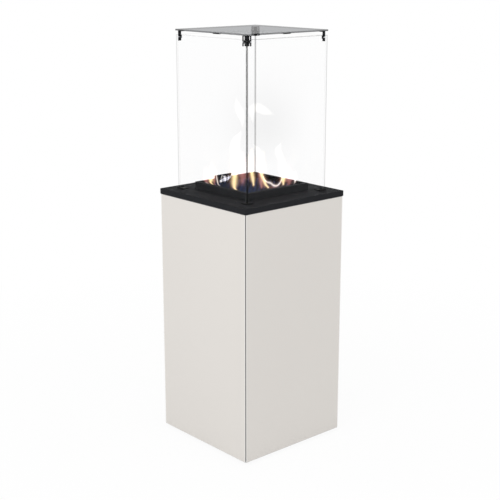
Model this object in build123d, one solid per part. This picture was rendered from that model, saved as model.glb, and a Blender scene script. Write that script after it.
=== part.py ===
from build123d import *
import math
import os

# Gas heater: a square column clad in lacquered glass, with a glass lantern round the burner on top.
# +Z is up and the origin is the middle of the footprint on the floor. The front faces -Y and the
# service door is at the back, +Y. All lengths are in millimetres.

# Column
column_width = 410.0
panel_height = 790.0
floor_gap = 8.0
panel_thickness = 6.0
panel_corner_gap = 1.5
panel_arris = 2.0

# Cabinet of sheet steel inside the panels
sheet = 2.5
tray_lift = 2.0
tray_flange_height = 22.0
tray_rear_inset = 0.5
post_leg = 30.0
flange_end_gap = 0.5
frame_sheet = 3.0
frame_opening_margin = 10.0
frame_fit_gap = 0.5
vent_length = 120.0
vent_width = 24.0
vent_edge_distance = 14.0

# Service door
door_sheet = 1.5
door_flange = 12.0
door_running_gap = 0.4
door_end_gap = 3.0
pivot_inset = 28.0
pivot_pin_radius = 4.0
pivot_pin_length = 15.0
pivot_shoulder_radius = 8.0
pivot_thrust_gap = 0.3
bush_width = 24.0
bush_height = 20.0
finger_hole_radius = 14.0
finger_hole_inset = 46.0
finger_hole_height = 420.0
strike_width = 36.0
strike_height = 60.0
strike_thickness = 1.5
magnet_height = 44.0
magnet_width = 26.0
magnet_gap = 0.3
catch_inset = 2.0
catch_height = 560.0
post_clearance = 2.0

# Levelling feet
foot_inset = 40.0
foot_pad_radius = 20.0
foot_neck_radius = 14.0
foot_pad_base = 5.0
foot_pad_edge = 1.0
foot_top_gap = 0.3
foot_stud_radius = 5.0
foot_stud_top = 42.0
foot_nut_flats = 17.0
foot_nut_height = 8.0
tray_hole_clearance = 0.5

# Slab that closes the column
slab_overhang = 1.0
slab_height = 17.0
slab_sheet = 2.5
slab_bend = 2.0

# Burner well and its raised rim
well_width = 238.0
well_depth = 58.0
well_sheet = 1.5
well_flange = 5.7
well_gap = 1.0
plinth_wall_gap = 0.3
plinth_height = 23.0
plinth_rim = 12.0
plinth_sheet = 1.5
plinth_bend = 1.2

# Burner
burner_width = 196.0
burner_top_below_rim = 10.5
burner_depth = 37.0
burner_sheet = 1.5
port_radius = 2.0
port_pitch = 20.0
ports_per_side = 9
spacer_radius = 6.0
spacer_inset = 20.0
venturi_radius = 14.0
venturi_wall = 1.5
venturi_mouth_radius = 19.0
venturi_mouth_height = 8.0
venturi_flange_radius = 21.0
venturi_length = 54.0
injector_radius = 6.0
injector_gap = 7.0
injector_nozzle = 12.0
injector_flats = 17.0
injector_hex_height = 10.0
injector_collar = 4.0
nozzle_base_radius = 5.0
nozzle_tip_radius = 2.5
jet_bore = 0.9
strap_width = 24.0
strap_half_span = 34.0
strap_sheet = 2.0
strap_foot = 14.0

# Pilot, on the rear side of the burner
pilot_centre_x = -22.0
pilot_spacing = 14.0
pilot_plate_width = 70.0
pilot_plate_above_slab = 35.0
pilot_plate_below_slab = 30.0
pilot_plate_jog = 3.0
pilot_plate_gap = 0.6
pilot_shelf_below_slab = 3.0
pilot_tube_radius = 4.0
pilot_hood_radius = 6.0
pilot_hood_height = 15.0
pilot_hood_rise = 3.0
pilot_hood_edge = 2.0
pilot_slot = 2.8
pilot_slot_inset = 4.0
pilot_collar = 4.0
pilot_collar_radius = 5.0
pilot_tail = 12.0
insulator_radius = 3.0
insulator_rise = 6.0
electrode_radius = 1.0
electrode_reach = 12.0
electrode_tilt = 5.0
electrode_bend = 4.0
thermocouple_radius = 2.4
thermocouple_rise = 16.0
thermocouple_round = 1.4
lead_slot_length = 50.0
lead_slot_width = 22.0
lead_slot_offset = 5.0

# Controls behind the door
valve_below_well = 39.0
knob_to_door = 14.0
control_width = 190.0
control_drop = 40.0
valve_x = 50.0
valve_width = 50.0
valve_depth = 36.0
valve_height = 56.0
valve_boss_radius = 9.0
valve_boss_length = 12.0
valve_port_offset = 13.0
valve_corner = 6.0
spindle_depth = 12.0
spindle_end_gap = 1.0
spindle_hole_clearance = 1.0
spindle_radius = 4.0
spindle_in_knob = 15.0
knob_radius = 23.0
knob_skirt = 7.0
knob_grip_height = 19.0
knob_grip_width = 12.0
knob_grip_corner = 4.0
knob_edge = 1.5
knob_travel = 6.0
knob_end_gap = 1.5
shaft_clearance = 0.05
igniter_x = -50.0
igniter_radius = 9.0
igniter_length = 40.0
igniter_collar_radius = 13.0
igniter_collar = 4.0
igniter_hole_clearance = 0.1
igniter_nut_radius = 13.0
igniter_nut = 5.0
button_radius = 6.5
button_height = 9.0
button_shank = 16.0
button_travel = 6.0
button_end_gap = 0.5
button_edge = 1.5

# Pipes and leads
pipe_radius = 4.0
pilot_pipe_radius = 2.0
capillary_radius = 1.25
lead_radius = 2.5
hose_radius = 6.5
hose_exit_run = 62.0
hose_entry_run = 48.0
hose_low_inset = 31.0
hose_low_depth = 8.0
hose_low_rise = 44.5
hose_high_inset = 21.0
hose_high_depth = 31.5
hose_high_drop = 50.0
pipe_bend = 24.0
small_pipe_bend = 12.0
outlet_run = 42.0
injector_run = 40.0
pilot_run_below_well = 26.0
pilot_run_rise = 6.0
capillary_run_below_well = 14.0
lead_rear_run = 38.0
lead_lean = 3.0
lead_rise_below_well = 20.0
lead_turn_below_well = 12.0

# Gas cylinder
cylinder_radius = 150.0
cylinder_length = 470.0
cylinder_wall = 2.5
cylinder_y = -20.0
crown_radius = 240.0
knuckle_radius = 40.0
foot_ring_radius = 105.0
ring_wall = 3.0
foot_ring_clearance = 15.0
weld_gap = 0.15
collar_radius = 95.0
collar_above_shell = 105.0
collar_opening = 110.0
neck_radius = 24.0
neck_height = 8.0
neck_bore = 10.0
neck_sunk = 8.0
thread_clearance = 0.1

# Cylinder valve, handwheel and regulator
bottle_valve_radius = 14.0
bottle_valve_height = 46.0
outlet_height = 22.0
outlet_radius = 10.9
outlet_length = 20.0
stem_radius = 4.5
stem_length = 22.0
wheel_radius = 30.0
wheel_thickness = 13.0
wheel_lobes = 6
wheel_lobe_radius = 8.0
wheel_lobe_depth = 5.0
wheel_edge = 2.5
wheel_gap = 4.0
nut_flats = 30.0
nut_length = 20.0
nut_lip = 8.0
regulator_stub_radius = 8.0
regulator_stub = 16.0
regulator_radius = 36.0
regulator_base = 12.0
regulator_bell_radius = 27.0
regulator_bell = 14.0
regulator_base_edge = 2.0
regulator_bell_edge = 6.0
nozzle_radius = 6.0
nozzle_length = 16.0

# Glass lantern
pane_box_width = 328.0
pane_thickness = 5.0
pane_height = 479.0
pane_joint_gap = 0.5
pane_foot_height = 3.0
pane_foot_width = 26.0
pane_foot_lip = 5.0
pane_foot_wall = 2.2
pane_foot_gap = 0.3
exhaust_gap = 11.0
plate_width = 331.0
plate_thickness = 5.0
plate_arris = 0.6
bracket_leg = 10.0
bracket_height = 30.0
bracket_sheet = 2.0
bracket_flange = 13.0
bracket_lug_height = 9.0
finger_inset = 7.5
finger_width = 4.5
finger_glass_gap = 0.1
screw_radius = 1.25
screw_head_radius = 2.4
screw_head = 1.4
screw_drop = 7.0
screw_hole_clearance = 0.5
cap_nut_radius = 2.6
cap_nut_height = 2.4
clip_length = 28.0
clip_depth = 6.0
clip_wall = 1.2
clip_rise = 2.2
left_clip_offset = -30.0
front_clip_offset = -7.0

# Levels and places worked out from the sizes above
half = column_width / 2
inner_half = half - panel_thickness
panel_top = floor_gap + panel_height
tray_bottom = floor_gap + tray_lift
tray_top = tray_bottom + sheet
tray_rear = half - tray_rear_inset
slab_top = panel_top + slab_height
slab_under = slab_top - slab_sheet
frame_under = slab_under - frame_sheet
slab_half = half + slab_overhang
frame_rear = slab_half - slab_sheet - frame_fit_gap
frame_opening_half = well_width / 2 + frame_opening_margin

door_outer_y = half
door_sheet_y = door_outer_y - panel_thickness - door_sheet
door_inner_y = door_sheet_y - door_flange + door_sheet
pivot_y = (door_sheet_y + door_inner_y) / 2
pivot_reach = math.hypot(pivot_inset, door_outer_y - pivot_y)
door_side_gap = pivot_reach - pivot_inset + door_running_gap
door_half = inner_half - door_side_gap
pivot_x = door_half - pivot_inset
door_bottom = tray_top + door_end_gap
door_top = panel_top - door_end_gap
pivot_dip = math.hypot(pivot_inset, pivot_y - door_inner_y)
rear_post_y = pivot_y - pivot_dip - post_clearance

foot_place = inner_half - foot_inset
well_half = well_width / 2
well_floor = slab_top - well_depth
plinth_half = well_half + well_flange + plinth_wall_gap + plinth_sheet
plinth_top = slab_top + plinth_height
rim_half = plinth_half - plinth_rim
burner_half = burner_width / 2
burner_top = plinth_top - burner_top_below_rim
burner_floor = burner_top - burner_depth
spacer_place = burner_half - spacer_inset
venturi_bottom = burner_floor - venturi_length
nozzle_tip = venturi_bottom - injector_gap
strap_top = nozzle_tip - injector_nozzle
injector_bottom = strap_top - strap_sheet - injector_hex_height
pilot_y = (rim_half + burner_half) / 2
pilot_shelf = slab_top - pilot_shelf_below_slab
pilot_plate_y = rim_half - pilot_plate_gap
electrode_x = pilot_centre_x - pilot_spacing
thermocouple_x = pilot_centre_x + pilot_spacing

knob_end_y = door_sheet_y - knob_to_door
knob_y = knob_end_y - knob_grip_height - knob_skirt
control_y = knob_y - knob_travel - knob_end_gap
control_height = well_floor - valve_below_well - valve_height / 2
control_bottom = control_height - control_drop
control_front_y = control_y - sheet
valve_back_y = control_front_y
valve_front_y = valve_back_y - valve_depth
valve_mid_y = (valve_back_y + valve_front_y) / 2
valve_top = control_height + valve_height / 2

shell_bottom = tray_top + foot_ring_clearance
shell_top = shell_bottom + cylinder_length
neck_top = shell_top + neck_height
outlet_z = neck_top + outlet_height
bottle_valve_top = neck_top + bottle_valve_height
outlet_end_y = cylinder_y + bottle_valve_radius + outlet_length
regulator_y = outlet_end_y + regulator_stub + regulator_radius
nozzle_end_x = regulator_radius + nozzle_length

pane_half = pane_box_width / 2
pane_inner = pane_half - pane_thickness
pane_bottom = slab_top + pane_foot_height
pane_top = pane_bottom + pane_height
plate_bottom = pane_top + exhaust_gap
plate_top = plate_bottom + plate_thickness
plate_half = plate_width / 2
screw_z = pane_top - screw_drop
screw_place = pane_inner - finger_inset - finger_width / 2
finger_reach = plate_half - pane_inner


def block(x0, x1, y0, y1, z0, z1):
    """A box between two opposite corners."""
    middle = Pos((x0 + x1) / 2, (y0 + y1) / 2, (z0 + z1) / 2)
    return middle * Box(abs(x1 - x0), abs(y1 - y0), abs(z1 - z0))


def rod(radius, start, end):
    """A round bar from one point to another."""
    start, end = Vector(*start), Vector(*end)
    way = end - start
    return extrude(Plane(origin=start, z_dir=way) * Circle(radius), amount=way.length)


def tube(outer, inner, start, end):
    """A round tube from one point to another."""
    return rod(outer, start, end) - rod(inner, start, end)


def prism(points, z0, z1):
    """An outline in plan, carried from one height to another."""
    return extrude(Pos(0, 0, z0) * Polygon(*points, align=None), amount=z1 - z0, dir=(0, 0, 1))


def hexagon(flats, x, y, z0, z1):
    """A hexagonal bar that stands on end."""
    return extrude(Pos(x, y, z0) * RegularPolygon(flats / math.sqrt(3), 6), amount=z1 - z0)


def corner_arcs(points, most=None):
    """Arc radii for the corners of a route: 0.45 of the shorter run over the tangent of half the turn."""
    radii = []
    for before, corner, after in zip(points, points[1:], points[2:]):
        first, second = Vector(*corner) - Vector(*before), Vector(*after) - Vector(*corner)
        turn = math.radians(first.get_angle(second))
        arc = 0.45 * min(first.length, second.length) / math.tan(turn / 2)
        radii.append(min(arc, most) if most else arc)
    return radii


def routed(name, points, radius, most=None):
    """A round pipe, hose or lead along straight runs joined by tangent arcs."""
    radii = corner_arcs(points, most)
    path = FilletPolyline(*points, radius=radii)
    solid = sweep(Plane(origin=path @ 0, z_dir=path % 0) * Circle(radius), path=path)
    print(name, "length", round(path.length, 1), "arcs", [round(r, 1) for r in radii])
    return solid


def softened(panel, axis, places):
    """A glass sheet with a polished arris round the face that lies at one of the given places."""
    edges = [e for e in panel.edges() if any(abs(getattr(e.center(), axis) - p) < 1e-3 for p in places)]
    return chamfer(edges, panel_arris)


# Cladding


def front_panel():
    outer, inner = half - panel_corner_gap / 2, inner_half - panel_corner_gap / 2
    outline = [(-outer, -half), (outer, -half), (inner, -inner_half), (-inner, -inner_half)]
    return softened(prism(outline, floor_gap, panel_top), "Y", [-half])


def side_panel(side):
    """Side is -1 for the left panel and 1 for the right one."""
    outer, inner = half - panel_corner_gap / 2, inner_half - panel_corner_gap / 2
    outline = [(side * half, -outer), (side * half, half),
               (side * inner_half, half), (side * inner_half, -inner)]
    return softened(prism(outline, floor_gap, panel_top), "X", [side * half])


# Cabinet


def floor_tray():
    plate = block(-inner_half, inner_half, -inner_half, tray_rear, tray_bottom, tray_top)
    flange_half = inner_half - post_leg - flange_end_gap
    rise = tray_top + tray_flange_height
    rear_end = rear_post_y - post_leg - flange_end_gap
    plate += block(-flange_half, flange_half, -inner_half, -inner_half + sheet, tray_top, rise)
    for side in (-1, 1):
        plate += block(side * inner_half, side * (inner_half - sheet), -flange_half, rear_end, tray_top, rise)
    vent_y = rear_post_y - vent_edge_distance
    span = vent_length / 2
    plate -= block(-span, span, vent_y - vent_width, vent_y, tray_bottom, tray_top)
    for x, y in foot_places():
        plate -= rod(foot_stud_radius + tray_hole_clearance, (x, y, tray_bottom), (x, y, tray_top))
    return plate


def foot_places():
    """The four feet, in plan: front left, front right, rear left, rear right."""
    rear = rear_post_y - foot_inset
    return [(-foot_place, -foot_place), (foot_place, -foot_place), (-foot_place, rear), (foot_place, rear)]


def corner_post(side, y_face, towards):
    """An angle post. Its outer corner is at the panels' inner faces and its legs run inwards."""
    x0, x1 = side * inner_half, side * (inner_half - post_leg)
    leg_x = block(x0, x1, y_face, y_face + towards * sheet, tray_top, frame_under)
    leg_y = block(x0, x0 - side * sheet, y_face, y_face + towards * post_leg, tray_top, frame_under)
    return leg_x + leg_y


def top_frame():
    """The ring under the slab. It carries the slab and hangs on the four posts."""
    hole = frame_opening_half
    ring = block(-inner_half, inner_half, -inner_half, frame_rear, frame_under, slab_under)
    return ring - block(-hole, hole, -hole, hole, frame_under, slab_under)


def top_slab():
    outer = block(-slab_half, slab_half, -slab_half, slab_half, panel_top, slab_top)
    outer = fillet(outer.edges().filter_by(Axis.Z) + outer.faces().sort_by(Axis.Z)[-1].edges(), slab_bend)
    wall = slab_half - slab_sheet
    opening = well_half + well_gap
    outer -= block(-wall, wall, -wall, wall, panel_top, slab_under)
    return outer - block(-opening, opening, -opening, opening, slab_under, slab_top)


# Door


def finger_hole(y0, y1):
    x = -door_half + finger_hole_inset
    return rod(finger_hole_radius, (x, y0, finger_hole_height), (x, y1, finger_hole_height))


def door_glass():
    y0 = door_outer_y - panel_thickness
    glass = block(-door_half, door_half, y0, door_outer_y, door_bottom, door_top)
    return softened(glass, "Y", [door_outer_y]) - finger_hole(y0, door_outer_y)


def door_tray():
    """A folded steel tray behind the glass, open towards the inside."""
    y1 = door_outer_y - panel_thickness
    tray = block(-door_half, door_half, door_inner_y, y1, door_bottom, door_top)
    tray -= block(-door_half + door_sheet, door_half - door_sheet, door_inner_y, door_sheet_y,
                  door_bottom + door_sheet, door_top - door_sheet)
    for z0, z1 in ((door_bottom, door_bottom + door_sheet), (door_top - door_sheet, door_top)):
        tray -= rod(pivot_pin_radius + tray_hole_clearance, (pivot_x, pivot_y, z0), (pivot_x, pivot_y, z1))
    return tray - finger_hole(door_inner_y, y1)


def door_bushes():
    """Two nylon blocks in the corners of the door tray, which turn on the pivot pins."""
    blocks = []
    for z in (door_bottom + door_sheet, door_top - door_sheet - bush_height):
        bush = block(pivot_x - bush_width / 2, pivot_x + bush_width / 2, door_inner_y, door_sheet_y,
                     z, z + bush_height)
        bore = pivot_pin_radius + shaft_clearance
        blocks.append(bush - rod(bore, (pivot_x, pivot_y, z), (pivot_x, pivot_y, z + bush_height)))
    return Compound(children=blocks)


def door_pivot_pins():
    """Shouldered pins: the lower one stands on the tray and carries the door, the upper one hangs."""
    low_shoulder = door_bottom - pivot_thrust_gap
    high_shoulder = door_top + pivot_thrust_gap
    pins = []
    for seat, shoulder, way in ((tray_top, low_shoulder, 1), (frame_under, high_shoulder, -1)):
        pin = rod(pivot_shoulder_radius, (pivot_x, pivot_y, seat), (pivot_x, pivot_y, shoulder))
        tip = shoulder + way * pivot_pin_length
        pins.append(pin + rod(pivot_pin_radius, (pivot_x, pivot_y, shoulder), (pivot_x, pivot_y, tip)))
    return Compound(children=pins)


def catch_place():
    """Where the magnet and its strike plate lie: their outer edge and the middle of their height."""
    return -door_half + door_sheet + catch_inset, catch_height


def strike_plate():
    x, z = catch_place()
    return block(x, x + strike_width, door_sheet_y - strike_thickness, door_sheet_y,
                 z - strike_height / 2, z + strike_height / 2)


def door_magnet():
    """The magnet block, screwed to the rear face of the left rear post."""
    x, z = catch_place()
    y1 = door_sheet_y - strike_thickness - magnet_gap
    return block(x, x + magnet_width, rear_post_y, y1, z - magnet_height / 2, z + magnet_height / 2)


# Feet


def levelling_foot(x, y):
    """A threaded stud with a pad, screwed fully in: the pad then lies just under the tray."""
    pad_top = tray_bottom - foot_top_gap
    foot = rod(foot_pad_radius, (x, y, 0), (x, y, foot_pad_base))
    foot = chamfer(foot.edges().sort_by(Axis.Z)[0], foot_pad_edge)
    foot += rod(foot_neck_radius, (x, y, foot_pad_base), (x, y, pad_top))
    return foot + rod(foot_stud_radius, (x, y, pad_top), (x, y, foot_stud_top))


def foot_nuts():
    nuts = []
    for x, y in foot_places():
        nut = hexagon(foot_nut_flats, x, y, tray_top, tray_top + foot_nut_height)
        bore = rod(foot_stud_radius + shaft_clearance, (x, y, tray_top), (x, y, tray_top + foot_nut_height))
        nuts.append(nut - bore)
    return Compound(children=nuts)


# Burner


def burner_box():
    """The well that hangs in the slab on its flange and holds the burner."""
    low = block(-well_half, well_half, -well_half, well_half, well_floor, slab_top)
    inner = well_half - well_sheet
    low -= block(-inner, inner, -inner, inner, well_floor + well_sheet, slab_top)
    reach = well_half + well_flange
    flange = block(-reach, reach, -reach, reach, slab_top, slab_top + well_sheet)
    box = low + (flange - block(-inner, inner, -inner, inner, slab_top, slab_top + well_sheet))
    floor_z = (well_floor, well_floor + well_sheet)
    hole = venturi_radius + tray_hole_clearance
    box -= rod(hole, (0, 0, floor_z[0]), (0, 0, floor_z[1]))
    y = pilot_y - lead_slot_offset
    box -= block(pilot_centre_x - lead_slot_length / 2, pilot_centre_x + lead_slot_length / 2,
                 y - lead_slot_width / 2, y + lead_slot_width / 2, *floor_z)
    return box


def burner_plinth():
    """The raised square rim that covers the well's flange."""
    shape = block(-plinth_half, plinth_half, -plinth_half, plinth_half, slab_top, plinth_top)
    shape = fillet(shape.edges().filter_by(Axis.Z) + shape.faces().sort_by(Axis.Z)[-1].edges(), plinth_bend)
    inside = plinth_half - plinth_sheet
    shape -= block(-inside, inside, -inside, inside, slab_top, plinth_top - plinth_sheet)
    return shape - block(-rim_half, rim_half, -rim_half, rim_half, plinth_top - plinth_sheet, plinth_top)


def burner_tray():
    """The mixing chamber under the ported plate, open at the top and fed from its floor."""
    under_plate = burner_top - burner_sheet
    tray = block(-burner_half, burner_half, -burner_half, burner_half, burner_floor, under_plate)
    inner = burner_half - burner_sheet
    tray -= block(-inner, inner, -inner, inner, burner_floor + burner_sheet, under_plate)
    throat = venturi_radius - venturi_wall
    return tray - rod(throat, (0, 0, burner_floor), (0, 0, burner_floor + burner_sheet))


def burner_plate():
    plate = block(-burner_half, burner_half, -burner_half, burner_half, burner_top - burner_sheet, burner_top)
    grid = GridLocations(port_pitch, port_pitch, ports_per_side, ports_per_side)
    middle = burner_top - burner_sheet / 2
    ports = Pos(0, 0, middle) * grid * Cylinder(port_radius, burner_sheet)
    return plate - ports


def burner_spacers():
    """Four short posts that hold the burner clear of the well's floor."""
    low = well_floor + well_sheet
    places = [(x, y) for x in (-spacer_place, spacer_place) for y in (-spacer_place, spacer_place)]
    return Compound(children=[rod(spacer_radius, (x, y, low), (x, y, burner_floor)) for x, y in places])


def venturi_tube():
    """The mixing tube: a collar under the chamber's floor, a plain tube and a flared mouth."""
    bore = venturi_radius - venturi_wall
    outer = rod(venturi_flange_radius, (0, 0, burner_floor - well_sheet), (0, 0, burner_floor))
    outer += rod(venturi_radius, (0, 0, venturi_bottom), (0, 0, burner_floor - well_sheet))
    flare = Pos(0, 0, venturi_bottom + venturi_mouth_height / 2)
    outer += flare * Cone(venturi_mouth_radius, venturi_radius, venturi_mouth_height)
    outer -= rod(bore, (0, 0, venturi_bottom), (0, 0, burner_floor))
    return outer - flare * Cone(venturi_mouth_radius - venturi_wall, bore, venturi_mouth_height)


def injector():
    """A brass jet: a hexagon below the strap, a thread through it and a nozzle above."""
    jet = hexagon(injector_flats, 0, 0, injector_bottom, strap_top - strap_sheet)
    shoulder = strap_top + injector_collar
    jet += rod(injector_radius, (0, 0, strap_top - strap_sheet), (0, 0, shoulder))
    cone = Cone(nozzle_base_radius, nozzle_tip_radius, nozzle_tip - shoulder)
    jet += Pos(0, 0, (shoulder + nozzle_tip) / 2) * cone
    return jet - rod(jet_bore, (0, 0, injector_bottom), (0, 0, nozzle_tip))


def injector_bracket():
    """A U-shaped strap under the well that holds the jet below the mixing tube."""
    y = strap_width / 2
    strap = block(-strap_half_span, strap_half_span, -y, y, strap_top - strap_sheet, strap_top)
    for side in (-1, 1):
        outer = side * strap_half_span
        strap += block(outer, outer - side * strap_sheet, -y, y, strap_top, well_floor)
        strap += block(outer, outer + side * strap_foot, -y, y, well_floor - strap_sheet, well_floor)
    hole = injector_radius + shaft_clearance
    return strap - rod(hole, (0, 0, strap_top - strap_sheet), (0, 0, strap_top))


# Pilot


def pilot_bracket():
    """A black shield plate behind the pilot. It hooks on the well's wall and carries a small shelf."""
    wall = well_half - well_sheet
    low, high = slab_top - pilot_plate_below_slab, slab_top + pilot_plate_above_slab
    t = well_sheet
    jog = pilot_shelf - pilot_plate_jog
    shelf_end = burner_half + pilot_plate_gap
    profile = [(wall, low), (wall, jog), (pilot_plate_y, jog + pilot_plate_jog), (pilot_plate_y, high),
               (pilot_plate_y - t, high), (pilot_plate_y - t, pilot_shelf),
               (shelf_end, pilot_shelf), (shelf_end, pilot_shelf - t),
               (pilot_plate_y - t, pilot_shelf - t), (wall - t, jog - t), (wall - t, low)]
    x0 = pilot_centre_x - pilot_plate_width / 2
    face = Plane(origin=(x0, 0, 0), x_dir=(0, 1, 0), z_dir=(1, 0, 0)) * Polygon(*profile, align=None)
    plate = extrude(face, amount=pilot_plate_width)
    for x, r in ((electrode_x, insulator_radius), (pilot_centre_x, pilot_tube_radius),
                 (thermocouple_x, thermocouple_radius)):
        plate -= rod(r + shaft_clearance, (x, pilot_y, pilot_shelf - t), (x, pilot_y, pilot_shelf))
    return plate


def pilot_burner():
    """A short tube through the shelf with a slotted hood on top."""
    x, y = pilot_centre_x, pilot_y
    collar = pilot_shelf + pilot_collar
    neck = burner_top + pilot_hood_rise
    body = rod(pilot_tube_radius, (x, y, pilot_shelf - pilot_tail), (x, y, neck))
    body += rod(pilot_collar_radius, (x, y, pilot_shelf), (x, y, collar))
    top = neck + pilot_hood_height
    hood = rod(pilot_hood_radius, (x, y, neck), (x, y, top))
    hood = fillet(hood.edges().sort_by(Axis.Z)[-1], pilot_hood_edge)
    reach, slot = pilot_hood_radius + pilot_slot, pilot_slot / 2
    return body + (hood - block(x - reach, x + reach, y - slot, y + slot, neck + pilot_slot_inset,
                                top - pilot_slot_inset))


def electrode_insulator():
    """The white ceramic sleeve of the spark electrode, with a collar on the shelf."""
    x, y = electrode_x, pilot_y
    top = burner_top + insulator_rise
    sleeve = rod(insulator_radius, (x, y, pilot_shelf - pilot_tail), (x, y, top))
    sleeve += rod(pilot_collar_radius, (x, y, pilot_shelf), (x, y, pilot_shelf + pilot_collar))
    return sleeve - rod(electrode_radius + shaft_clearance, (x, y, pilot_shelf), (x, y, top))


def electrode_rod():
    """The bare wire, which stands out of the sleeve and leans towards the hood."""
    x, y = electrode_x, pilot_y
    bend = burner_top + insulator_rise + electrode_bend
    points = [(x, y, pilot_shelf), (x, y, bend), (x + electrode_tilt, y, bend + electrode_reach)]
    path = FilletPolyline(*points, radius=electrode_bend)
    return sweep(Plane(origin=path @ 0, z_dir=path % 0) * Circle(electrode_radius), path=path)


def thermocouple():
    """The sensing tip beside the hood and its copper lead down to the valve, one piece."""
    x, y = thermocouple_x, pilot_y
    tip = rod(thermocouple_radius, (x, y, pilot_shelf - pilot_tail), (x, y, burner_top + thermocouple_rise))
    tip = fillet(tip.edges().sort_by(Axis.Z)[-1], thermocouple_round)
    tip += rod(pilot_collar_radius, (x, y, pilot_shelf), (x, y, pilot_shelf + pilot_collar))
    port_x = valve_x + valve_port_offset
    low = well_floor - capillary_run_below_well
    route = [(port_x, valve_mid_y, valve_top), (port_x, valve_mid_y, low),
             (x, y, low + pilot_run_rise), (x, y, pilot_shelf - pilot_tail)]
    return tip + routed("thermocouple lead", route, capillary_radius, small_pipe_bend)


# Controls


def control_bracket():
    """A folded plate that hangs from the top frame and carries the valve and the igniter."""
    x = control_width / 2
    plate = block(-x, x, control_front_y, control_y, control_bottom, frame_under)
    plate += block(-x, x, frame_opening_half, control_front_y, frame_under - sheet, frame_under)
    z = control_height
    hole = spindle_radius + spindle_hole_clearance
    plate -= rod(hole, (valve_x, control_front_y, z), (valve_x, control_y, z))
    hole = igniter_radius + igniter_hole_clearance
    return plate - rod(hole, (igniter_x, control_front_y, z), (igniter_x, control_y, z))


def gas_valve():
    """The cast body of the tap, with an inlet boss on the right and an outlet boss on the left."""
    z = control_height
    body = block(valve_x - valve_width / 2, valve_x + valve_width / 2, valve_front_y, valve_back_y,
                 z - valve_height / 2, z + valve_height / 2)
    body = fillet(body.edges().filter_by(Axis.Y), valve_corner)
    reach = valve_width / 2 + valve_boss_length
    body += rod(valve_boss_radius, (valve_x - reach, valve_mid_y, z), (valve_x + reach, valve_mid_y, z))
    bore = spindle_radius + shaft_clearance
    return body - rod(bore, (valve_x, valve_back_y - spindle_depth, z), (valve_x, valve_back_y, z))


def valve_spindle():
    z = control_height
    start = valve_back_y - spindle_depth + spindle_end_gap
    return rod(spindle_radius, (valve_x, start, z), (valve_x, knob_y + spindle_in_knob, z))


def knob():
    """A round skirt with a raised grip bar, bored for the spindle."""
    z = control_height
    skirt = rod(knob_radius, (valve_x, knob_y, z), (valve_x, knob_y + knob_skirt, z))
    skirt = fillet(skirt.edges().sort_by(Axis.Y)[-1], knob_edge)
    reach = knob_radius - knob_edge
    grip = block(valve_x - knob_grip_width / 2, valve_x + knob_grip_width / 2, knob_y + knob_edge, knob_end_y,
                 z - reach, z + reach)
    grip = fillet(grip.edges().filter_by(Axis.Y), knob_grip_corner)
    grip = fillet(grip.faces().sort_by(Axis.Y)[-1].edges(), knob_edge)
    bore, depth = spindle_radius + shaft_clearance, spindle_in_knob + knob_travel + spindle_end_gap
    return skirt + grip - rod(bore, (valve_x, knob_y, z), (valve_x, knob_y + depth, z))


def igniter_body():
    """The piezo igniter: a barrel through the bracket with a collar on the door side."""
    z = control_height
    back = control_y + igniter_collar
    front = back - igniter_length
    body = rod(igniter_radius, (igniter_x, front, z), (igniter_x, back, z))
    body += rod(igniter_collar_radius, (igniter_x, control_y, z), (igniter_x, back, z))
    face = Plane(origin=(igniter_x, control_front_y, z), z_dir=(0, -1, 0))
    body += extrude(face * RegularPolygon(igniter_nut_radius, 6), amount=igniter_nut)
    bore, depth = button_radius + shaft_clearance, button_shank + button_travel + button_end_gap
    return body - rod(bore, (igniter_x, back - depth, z), (igniter_x, back, z))


def igniter_button():
    z = control_height
    back = control_y + igniter_collar
    button = rod(button_radius, (igniter_x, back - button_shank, z), (igniter_x, back + button_height, z))
    return fillet(button.edges().sort_by(Axis.Y)[-1], button_edge)


def main_gas_pipe():
    outlet_x = valve_x - valve_width / 2 - valve_boss_length
    low = injector_bottom - injector_run
    z = control_height
    route = [(outlet_x, valve_mid_y, z), (outlet_x - outlet_run, valve_mid_y, z), (0, 0, low),
             (0, 0, injector_bottom)]
    return routed("main gas pipe", route, pipe_radius, pipe_bend)


def pilot_pipe():
    port_x = valve_x - valve_port_offset
    low = well_floor - pilot_run_below_well
    x, y = pilot_centre_x, pilot_y
    route = [(port_x, valve_mid_y, valve_top), (port_x, valve_mid_y, low),
             (x, y, low + pilot_run_rise), (x, y, pilot_shelf - pilot_tail)]
    return routed("pilot pipe", route, pilot_pipe_radius, small_pipe_bend)


def ignition_lead():
    front = control_y + igniter_collar - igniter_length
    z = control_height
    far = front - lead_rear_run
    route = [(igniter_x, front, z), (igniter_x, far, z),
             (igniter_x + lead_lean, far, well_floor - lead_rise_below_well),
             (electrode_x, pilot_y, well_floor - lead_turn_below_well),
             (electrode_x, pilot_y, pilot_shelf - pilot_tail)]
    return routed("ignition lead", route, lead_radius)


# Gas supply


def headed_profile(radius, crown, knuckle, bottom, top):
    """Half of a cylinder's section with dished ends: crown arc, knuckle arc, wall, knuckle, crown."""
    offset = radius - knuckle
    drop = math.sqrt((crown - knuckle) ** 2 - offset ** 2)
    depth = crown - drop
    lean = math.asin(offset / (crown - knuckle))
    edges = []
    for end, way in ((bottom, 1), (top, -1)):
        centre = end + way * crown
        joint = (crown * math.sin(lean), centre - way * crown * math.cos(lean))
        middle = (crown * math.sin(lean / 2), centre - way * crown * math.cos(lean / 2))
        half_knuckle = (lean + math.pi / 2) / 2
        bend = (offset + knuckle * math.sin(half_knuckle),
                end + way * (depth - knuckle * math.cos(half_knuckle)))
        edges.append(ThreePointArc((0, end), middle, joint))
        edges.append(ThreePointArc(joint, bend, (radius, end + way * depth)))
    edges.append(Line((radius, bottom + depth), (radius, top - depth)))
    edges.append(Line((0, bottom), (0, top)))
    return edges


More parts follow.
